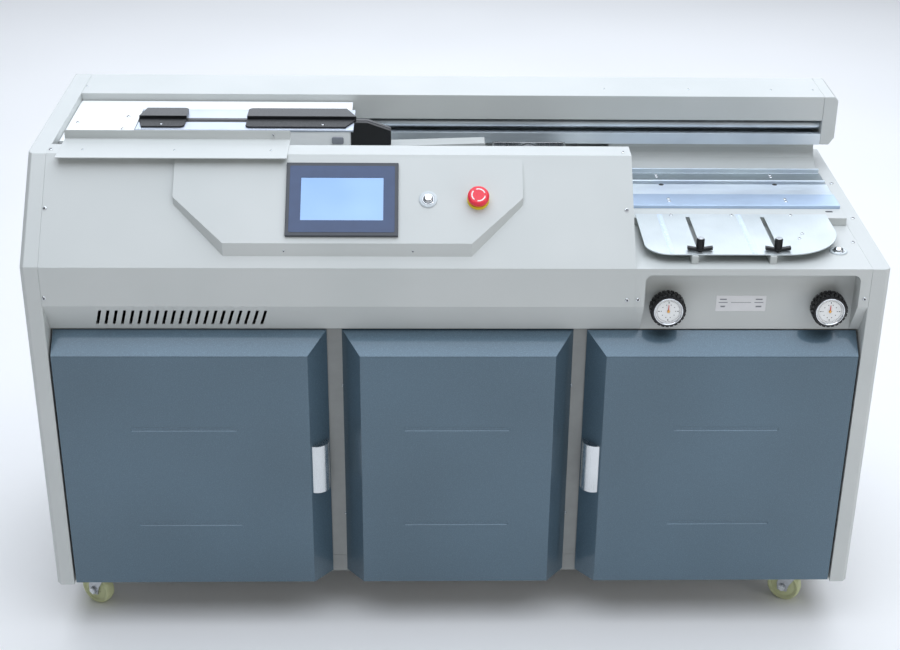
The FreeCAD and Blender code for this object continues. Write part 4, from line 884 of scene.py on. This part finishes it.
wheelValues = {
    "rim": [
        (0, -90), (8, -90), (8, 0), (25, 0), (29, 0.8), (31.2, 2.5), (31.2, 25.2), (30.2, 27.2), (28.2, 27.9),
        (27.8, 27.9), (27.8, 23.5), (0, 23.5),
    ],
    "bezel": [
        (24.4, 23.5), (27.8, 23.5), (27.8, 27.2), (27.1, 28), (25.9, 28), (24.8, 26.6), (24.4, 25.2),
        (24.4, 23.5),
    ],
    "dial": [(0, 23.5), (24.4, 23.5), (24.4, 24.6), (0, 24.8)],
    "hub": [(0, 24.6), (2.6, 24.6), (2.6, 26.4), (1.8, 27), (0, 27)],
    "depth": 28.0, "dialHeight": 24.72,
    "treads": 24, "treadSize": (3.2, 6.0, 6.8), "treadRadius": 31.9, "treadHeights": (5.9, 13.7, 21.5),
    "treadEdge": 0.5,
    "marks": {
        "ticks": (50, 21.6, (2.2, 0.5, 0.16)), "dots": (10, 13.5, (1.5, 1.5, 0.16)),
        "boldTicks": (4, 17.8, (3.0, 1.3, 0.2)),
    },
    "pointer": [(-0.9, 2.0), (0.9, 2.0), (0.5, 12.5), (0, 14.0), (-0.5, 12.5)], "pointerLift": (0.7, 1.2),
}


def makeDial(node, v):
    body = bodyOf[node]
    lo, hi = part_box(node)
    seat = standing(Vector(((lo.x + hi.x) / 2, lo.y + v["depth"] * mm, (lo.z + hi.z) / 2)), front)
    meshPiece(node + "_rim", turned(node + "_rim", v["rim"], seat, 96), "blackPlastic", body, node)
    for row, height in enumerate(v["treadHeights"]):
        treads = ringOf(
            node + "_tread%d" % row, body, "blackPlastic", v["treads"], v["treadRadius"], v["treadSize"],
            seat @ Matrix.Translation((0, 0, height * mm)), row * math.pi / v["treads"],
        )
        roundPiece(treads, v["treadEdge"])
    meshPiece(node + "_bezel", turned(node + "_bezel", v["bezel"], seat, 96), "chrome", body)
    meshPiece(node + "_dial", turned(node + "_dial", v["dial"], seat, 96), "dialWhite", body)
    face = seat @ Matrix.Translation((0, 0, v["dialHeight"] * mm))
    for mark, (count, radius, size) in v["marks"].items():
        ringOf(node + "_" + mark, body, "inkBlack", count, radius, size, face)
    low, high = (v["dialHeight"] + lift for lift in v["pointerLift"])
    pointer = placed(extruded(v["pointer"], low, high), seat)
    meshPiece(node + "_pointer", fromBmesh(node + "_pointer", pointer), "pointerRed", body)
    meshPiece(node + "_hub", turned(node + "_hub", v["hub"], seat, 32), "brass", body)


for node in ("left_handwheel", "right_handwheel"):
    makeDial(node, wheelValues)
print("handwheels ready")


# data plate between the handwheels, with plain marks and no words

plateValues = {
    "x": 534.5, "wallDeep": 39.0, "rise": -89,
    "width": 95, "height": 33, "radius": 1.5, "thick": 0.5, "edge": 0.15,
    # each mark: middle x and y, width of its top and of its foot, height
    "marks": [
        (-34, 8.5, 13, 13, 2.4), (34, 8.5, 13, 13, 2.4), (0, 2.0, 38, 38, 1.0), (-34, 2.0, 17, 17, 1.6),
        (34, 2.0, 17, 17, 1.6), (-34, -6.5, 10, 7, 3), (34, -6.5, 11, 11, 3),
    ],
    "markHeights": (-0.02, 0.08),
}


def makeDataPlate(v):
    seat = standing(spot(v["x"], v["wallDeep"], v["rise"]), front)
    outline = roundedRect(v["width"], v["height"], v["radius"])
    plate = bevelSome(extruded(outline, 0, v["thick"]), v["edge"], 1)
    meshPiece("dataPlate", fromBmesh("dataPlate", placed(plate, seat)), "labelSilver", "cabinet")
    low, high = (v["thick"] + lift for lift in v["markHeights"])
    marks = [
        extruded([
            (x - foot / 2, y - height / 2), (x + foot / 2, y - height / 2),
            (x + top / 2, y + height / 2), (x - top / 2, y + height / 2),
        ], low, high)
        for x, y, top, foot, height in v["marks"]
    ]
    meshPiece(
        "dataPlateMarks", fromBmesh("dataPlateMarks", placed(joined(marks), seat)), "inkGrey", "cabinet",
    )


makeDataPlate(plateValues)
print("data plate ready")


# cover feed plate: two graduated strips, and the thumb screws of the stops

feedValues = {
    "offsets": (-53.5, -45), "width": 9.5, "thick": 0.25, "endGap": 3,
    "pitch": 5, "tick": 2.6, "line": 0.45, "ink": 0.1, "firstMark": (-2.2, 2),
}


def makeRulers(v):
    lo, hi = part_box("cover_feed_plate")
    length = (hi.y - lo.y) / mm - 2 * v["endGap"]
    for side, offset in zip(("left", "right"), v["offsets"]):
        x = sum(corner.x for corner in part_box(side + "_stop")) / 2 + offset * mm
        seat = Matrix.Translation((x, (lo.y + hi.y) / 2, hi.z))
        strip = extruded(roundedRect(v["width"], length, 0.6), -0.05, v["thick"])
        meshPiece(side + "Ruler", fromBmesh(side + "Ruler", placed(strip, seat)), "rulerFilm", "cabinet")
        aside, onward = v["firstMark"]
        start = (x + aside * mm, lo.y + (v["endGap"] + onward) * mm, hi.z + v["thick"] * mm)
        grown(side + "RulerMarks", scaleTree, "cabinet", "inkGrey", {
            "Count": int(length / v["pitch"]), "Pitch": v["pitch"] * mm, "Length": v["tick"] * mm,
            "Line Width": v["line"] * mm, "Height": v["ink"] * mm,
        }, Matrix.Translation(start))


# the body's shaft has no fixed foot: None stands for the node's own
knobValues = {
    "body": [(0, None), (2.5, None), (2.5, 0), (6.2, 0), (6.7, 0.6), (6.7, 18.2), (6.2, 18.9), (0, 18.9)],
    "cap": [(0, 18.9), (5.9, 18.9), (5.9, 19.6), (5.2, 20), (0, 20)],
    "ribs": 18, "ribSize": (1.3, 1.2, 15.5), "ribRadius": 6.85, "ribHeight": 9.6, "height": 20.0,
}


def makeKnobs(v):
    for side in ("left", "right"):
        node = side + "_stop_knob"
        lo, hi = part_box(node)
        foot = (hi.z - lo.z) / mm - v["height"]
        seat = Matrix.Translation(((lo.x + hi.x) / 2, (lo.y + hi.y) / 2, hi.z - v["height"] * mm))
        profile = [(radius, -foot if height is None else height) for radius, height in v["body"]]
        body = bodyOf[node]
        meshPiece(node + "_body", turned(node + "_body", profile, seat, 48), "blackPlastic", body, node)
        ringOf(
            node + "_ribs", body, "blackPlastic", v["ribs"], v["ribRadius"], v["ribSize"],
            seat @ Matrix.Translation((0, 0, v["ribHeight"] * mm)),
        )
        meshPiece(node + "_cap", turned(node + "_cap", v["cap"], seat, 48), "steel", body)


makeRulers(feedValues)
makeKnobs(knobValues)
print("feed plate details ready")


# small marks and holes: black ovals that paint the shade inside the oval holes of the nipping station, button
# on the clamp box

holeValues = {
    # each oval of painted hole shade: X, depth, height over the table, width, length, body
    "mouths": [
        (420, 369, 19.05, 10, 10, "nip_front_jaw"), (653, 371, 19.05, 10, 10, "nip_front_jaw"),
        (735, 236, 16.05, 15, 6.5, "cabinet"),
    ],
    "thick": 0.12,
}
boxButtonValues = {
    "fromRight": 24, "fromTop": 17, "size": (23, 14.5), "radius": 3.5, "height": 4.5, "edge": 1.4,
}


def makeSmallHoles(v):
    for i, (x, deepMm, riseMm, width, length, body) in enumerate(v["mouths"]):
        # painted shade: a thin black oval lies where the hole is, for the dark inside it
        hole = extruded(roundedRect(width, length, length / 2 - 0.05), 0, v["thick"])
        hole.transform(Matrix.Translation(spot(x, deepMm, riseMm)))
        meshPiece("holeMouth%d" % i, fromBmesh("holeMouth%d" % i, hole), "inkBlack", body)


def makeBoxButton(v):
    lo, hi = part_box("front_clamp_box")
    seat = standing(Vector((hi.x - v["fromRight"] * mm, lo.y, hi.z - v["fromTop"] * mm)), front)
    cap = bevelSome(extruded(roundedRect(*v["size"], v["radius"]), 0, v["height"]), v["edge"], 3)
    meshPiece("clampBoxButton", fromBmesh("clampBoxButton", placed(cap, seat)), "buttonGrey", "front_clamp")


makeSmallHoles(holeValues)
makeBoxButton(boxButtonValues)
print("small marks ready")


# door handles: aluminium grips whose end caps are black

handleValues = {"capHeight": 20.0, "edge": 0.5}


def makeHandle(node, v):
    name = node + "_dressed"
    bm = mergedCopy(node)
    paintLow(bm, v["capHeight"])
    grip = meshPiece(name, fromBmesh(name, bm), ["aluminium", "blackPlastic"], bodyOf[node], node)
    roundPiece(grip, v["edge"])


for side in ("left", "right"):
    makeHandle(side + "_door_handle", handleValues)
print("handles ready")


# castors: moulded wheels, bright forks, hexagon axle bolts

castorValues = {
    "wheel": [
        (5.1, -12), (9, -12), (10.5, -10.2), (13, -9.0), (25, -9.0), (27.5, -11), (31, -11.6), (33.4, -9.6),
        (34.6, -6), (35, -2), (35, 2), (34.6, 6), (33.4, 9.6), (31, 11.6), (27.5, 11), (25, 9.0), (13, 9.0),
        (10.5, 10.2), (9, 12), (5.1, 12), (5.1, -12),
    ],
    "boltReach": 17.4, "boltRadius": 7.6, "boltTaper": 0.9, "boltHeight": 3.6,
    "forkEdge": 0.7, "plateEdge": 0.8,
}


def makeCastor(name, v):
    axis = Vector(joints["castor_roll_" + name]["axis"]).normalized()
    node = "castor_wheel_" + name
    lo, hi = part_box(node)
    hub = (lo + hi) / 2
    seat = standing(hub, axis)
    meshPiece(node + "_tyre", turned(node + "_tyre", v["wheel"], seat, 80), "wheelNylon", bodyOf[node], node)
    fork = "castor_fork_" + name
    soften(fork, v["forkEdge"])
    grown(fork + "_bolts", studTree, bodyOf[fork], "brightZinc", {
        "Sides": 6, "Bottom Radius": v["boltRadius"] * mm,
        "Top Radius": v["boltRadius"] * mm * v["boltTaper"], "Height": v["boltHeight"] * mm,
    }, points=[(hub + axis * side * v["boltReach"] * mm, axis * side) for side in (-1, 1)])


for name in ("front_left", "front_right", "rear_left", "rear_right"):
    makeCastor(name, castorValues)
soften("castor_plates", castorValues["plateEdge"])
print("castors ready")


# camera, floor and light

# the camera's place as solved from the photo: lens in pixels, places in mm, turns in degrees
cameraValues = {
    "focalPixels": 1610.8, "principalX": 472.7, "imageWidth": 900, "sensorMm": 36.0,
    "x": -69.1, "deep": -2679.0, "rise": 1236.6, "pitch": 26.77, "yaw": -2.06, "roll": 0.98,
}


def makeCamera(v):
    data = bpy.data.cameras.new("camera")
    data.sensor_width = v["sensorMm"]
    data.lens = v["focalPixels"] * v["sensorMm"] / v["imageWidth"]
    data.shift_x = (v["imageWidth"] / 2 - v["principalX"]) / v["imageWidth"]
    camera = bpy.data.objects.new("camera", data)
    scene.collection.objects.link(camera)
    turn = (
        Matrix.Rotation(math.radians(v["yaw"]), 4, "Z")
        @ Matrix.Rotation(math.radians(90 - v["pitch"]), 4, "X")
        @ Matrix.Rotation(math.radians(v["roll"]), 4, "Z")
    )
    camera.matrix_world = Matrix.Translation((v["x"] * mm, deep(v["deep"]), rise(v["rise"]))) @ turn
    scene.camera = camera


def makeFloor():
    bm = bmesh.new()
    bmesh.ops.create_grid(bm, x_segments=2, y_segments=2, size=14.0)
    floor = bpy.data.objects.new("floor", fromBmesh("floor", bm, smooth=False))
    scene.collection.objects.link(floor)
    material, tree, shader, coords = newMaterial("paleFloor", "#F4F4F4", 0.85)
    tone = noise(tree, coords, 900.0, 1.0)
    rampInto(tree, shader, "Base Color", tone, [(0.3, "#F2F2F2"), (0.7, "#F6F6F6")])
    floor.data.materials.append(material)


# each softbox: place, target, size in metres, watts, colour
lightValues = {
    "softboxes": {
        "topSoftbox": ((0.2, -0.4, 4.6), (0, -0.4, 0.0), (7.0, 6.0), 315.0, "#EEF5FF"),
        "frontSoftbox": ((-0.6, -4.2, 2.2), (0, 0, 0.5), (3.2, 2.0), 9.0, "#FFFBF4"),
        "backSoftbox": ((0.3, 4.4, 2.9), (0, 0.1, 0.8), (6.0, 2.4), 90.0, "#EEF5FF"),
        "rightFill": ((3.6, -2.4, 1.5), (0.3, -0.3, 0.5), (1.6, 1.6), 20.0, "#FFFBF4"),
    },
    "worldColor": "#F7FAFF", "worldStrength": 0.2,
}


def makeLights(v):
    for name, (place, target, size, power, color) in v["softboxes"].items():
        data = bpy.data.lights.new(name, "AREA")
        data.shape = "RECTANGLE"
        data.size, data.size_y = size
        data.energy = power
        data.color = linearHex(color)[:3]
        light = bpy.data.objects.new(name, data)
        light.location = place
        light.rotation_mode = "QUATERNION"
        light.rotation_quaternion = (Vector(target) - Vector(place)).to_track_quat("-Z", "Y")
        scene.collection.objects.link(light)
    world = bpy.data.worlds.new("studio")
    world.use_nodes = True
    background = world.node_tree.nodes["Background"]
    background.inputs["Color"].default_value = linearHex(v["worldColor"])
    background.inputs["Strength"].default_value = v["worldStrength"]
    scene.world = world


makeCamera(cameraValues)
makeFloor()
makeLights(lightValues)
scene.view_settings.view_transform = "Standard"
print("camera, floor and light ready")
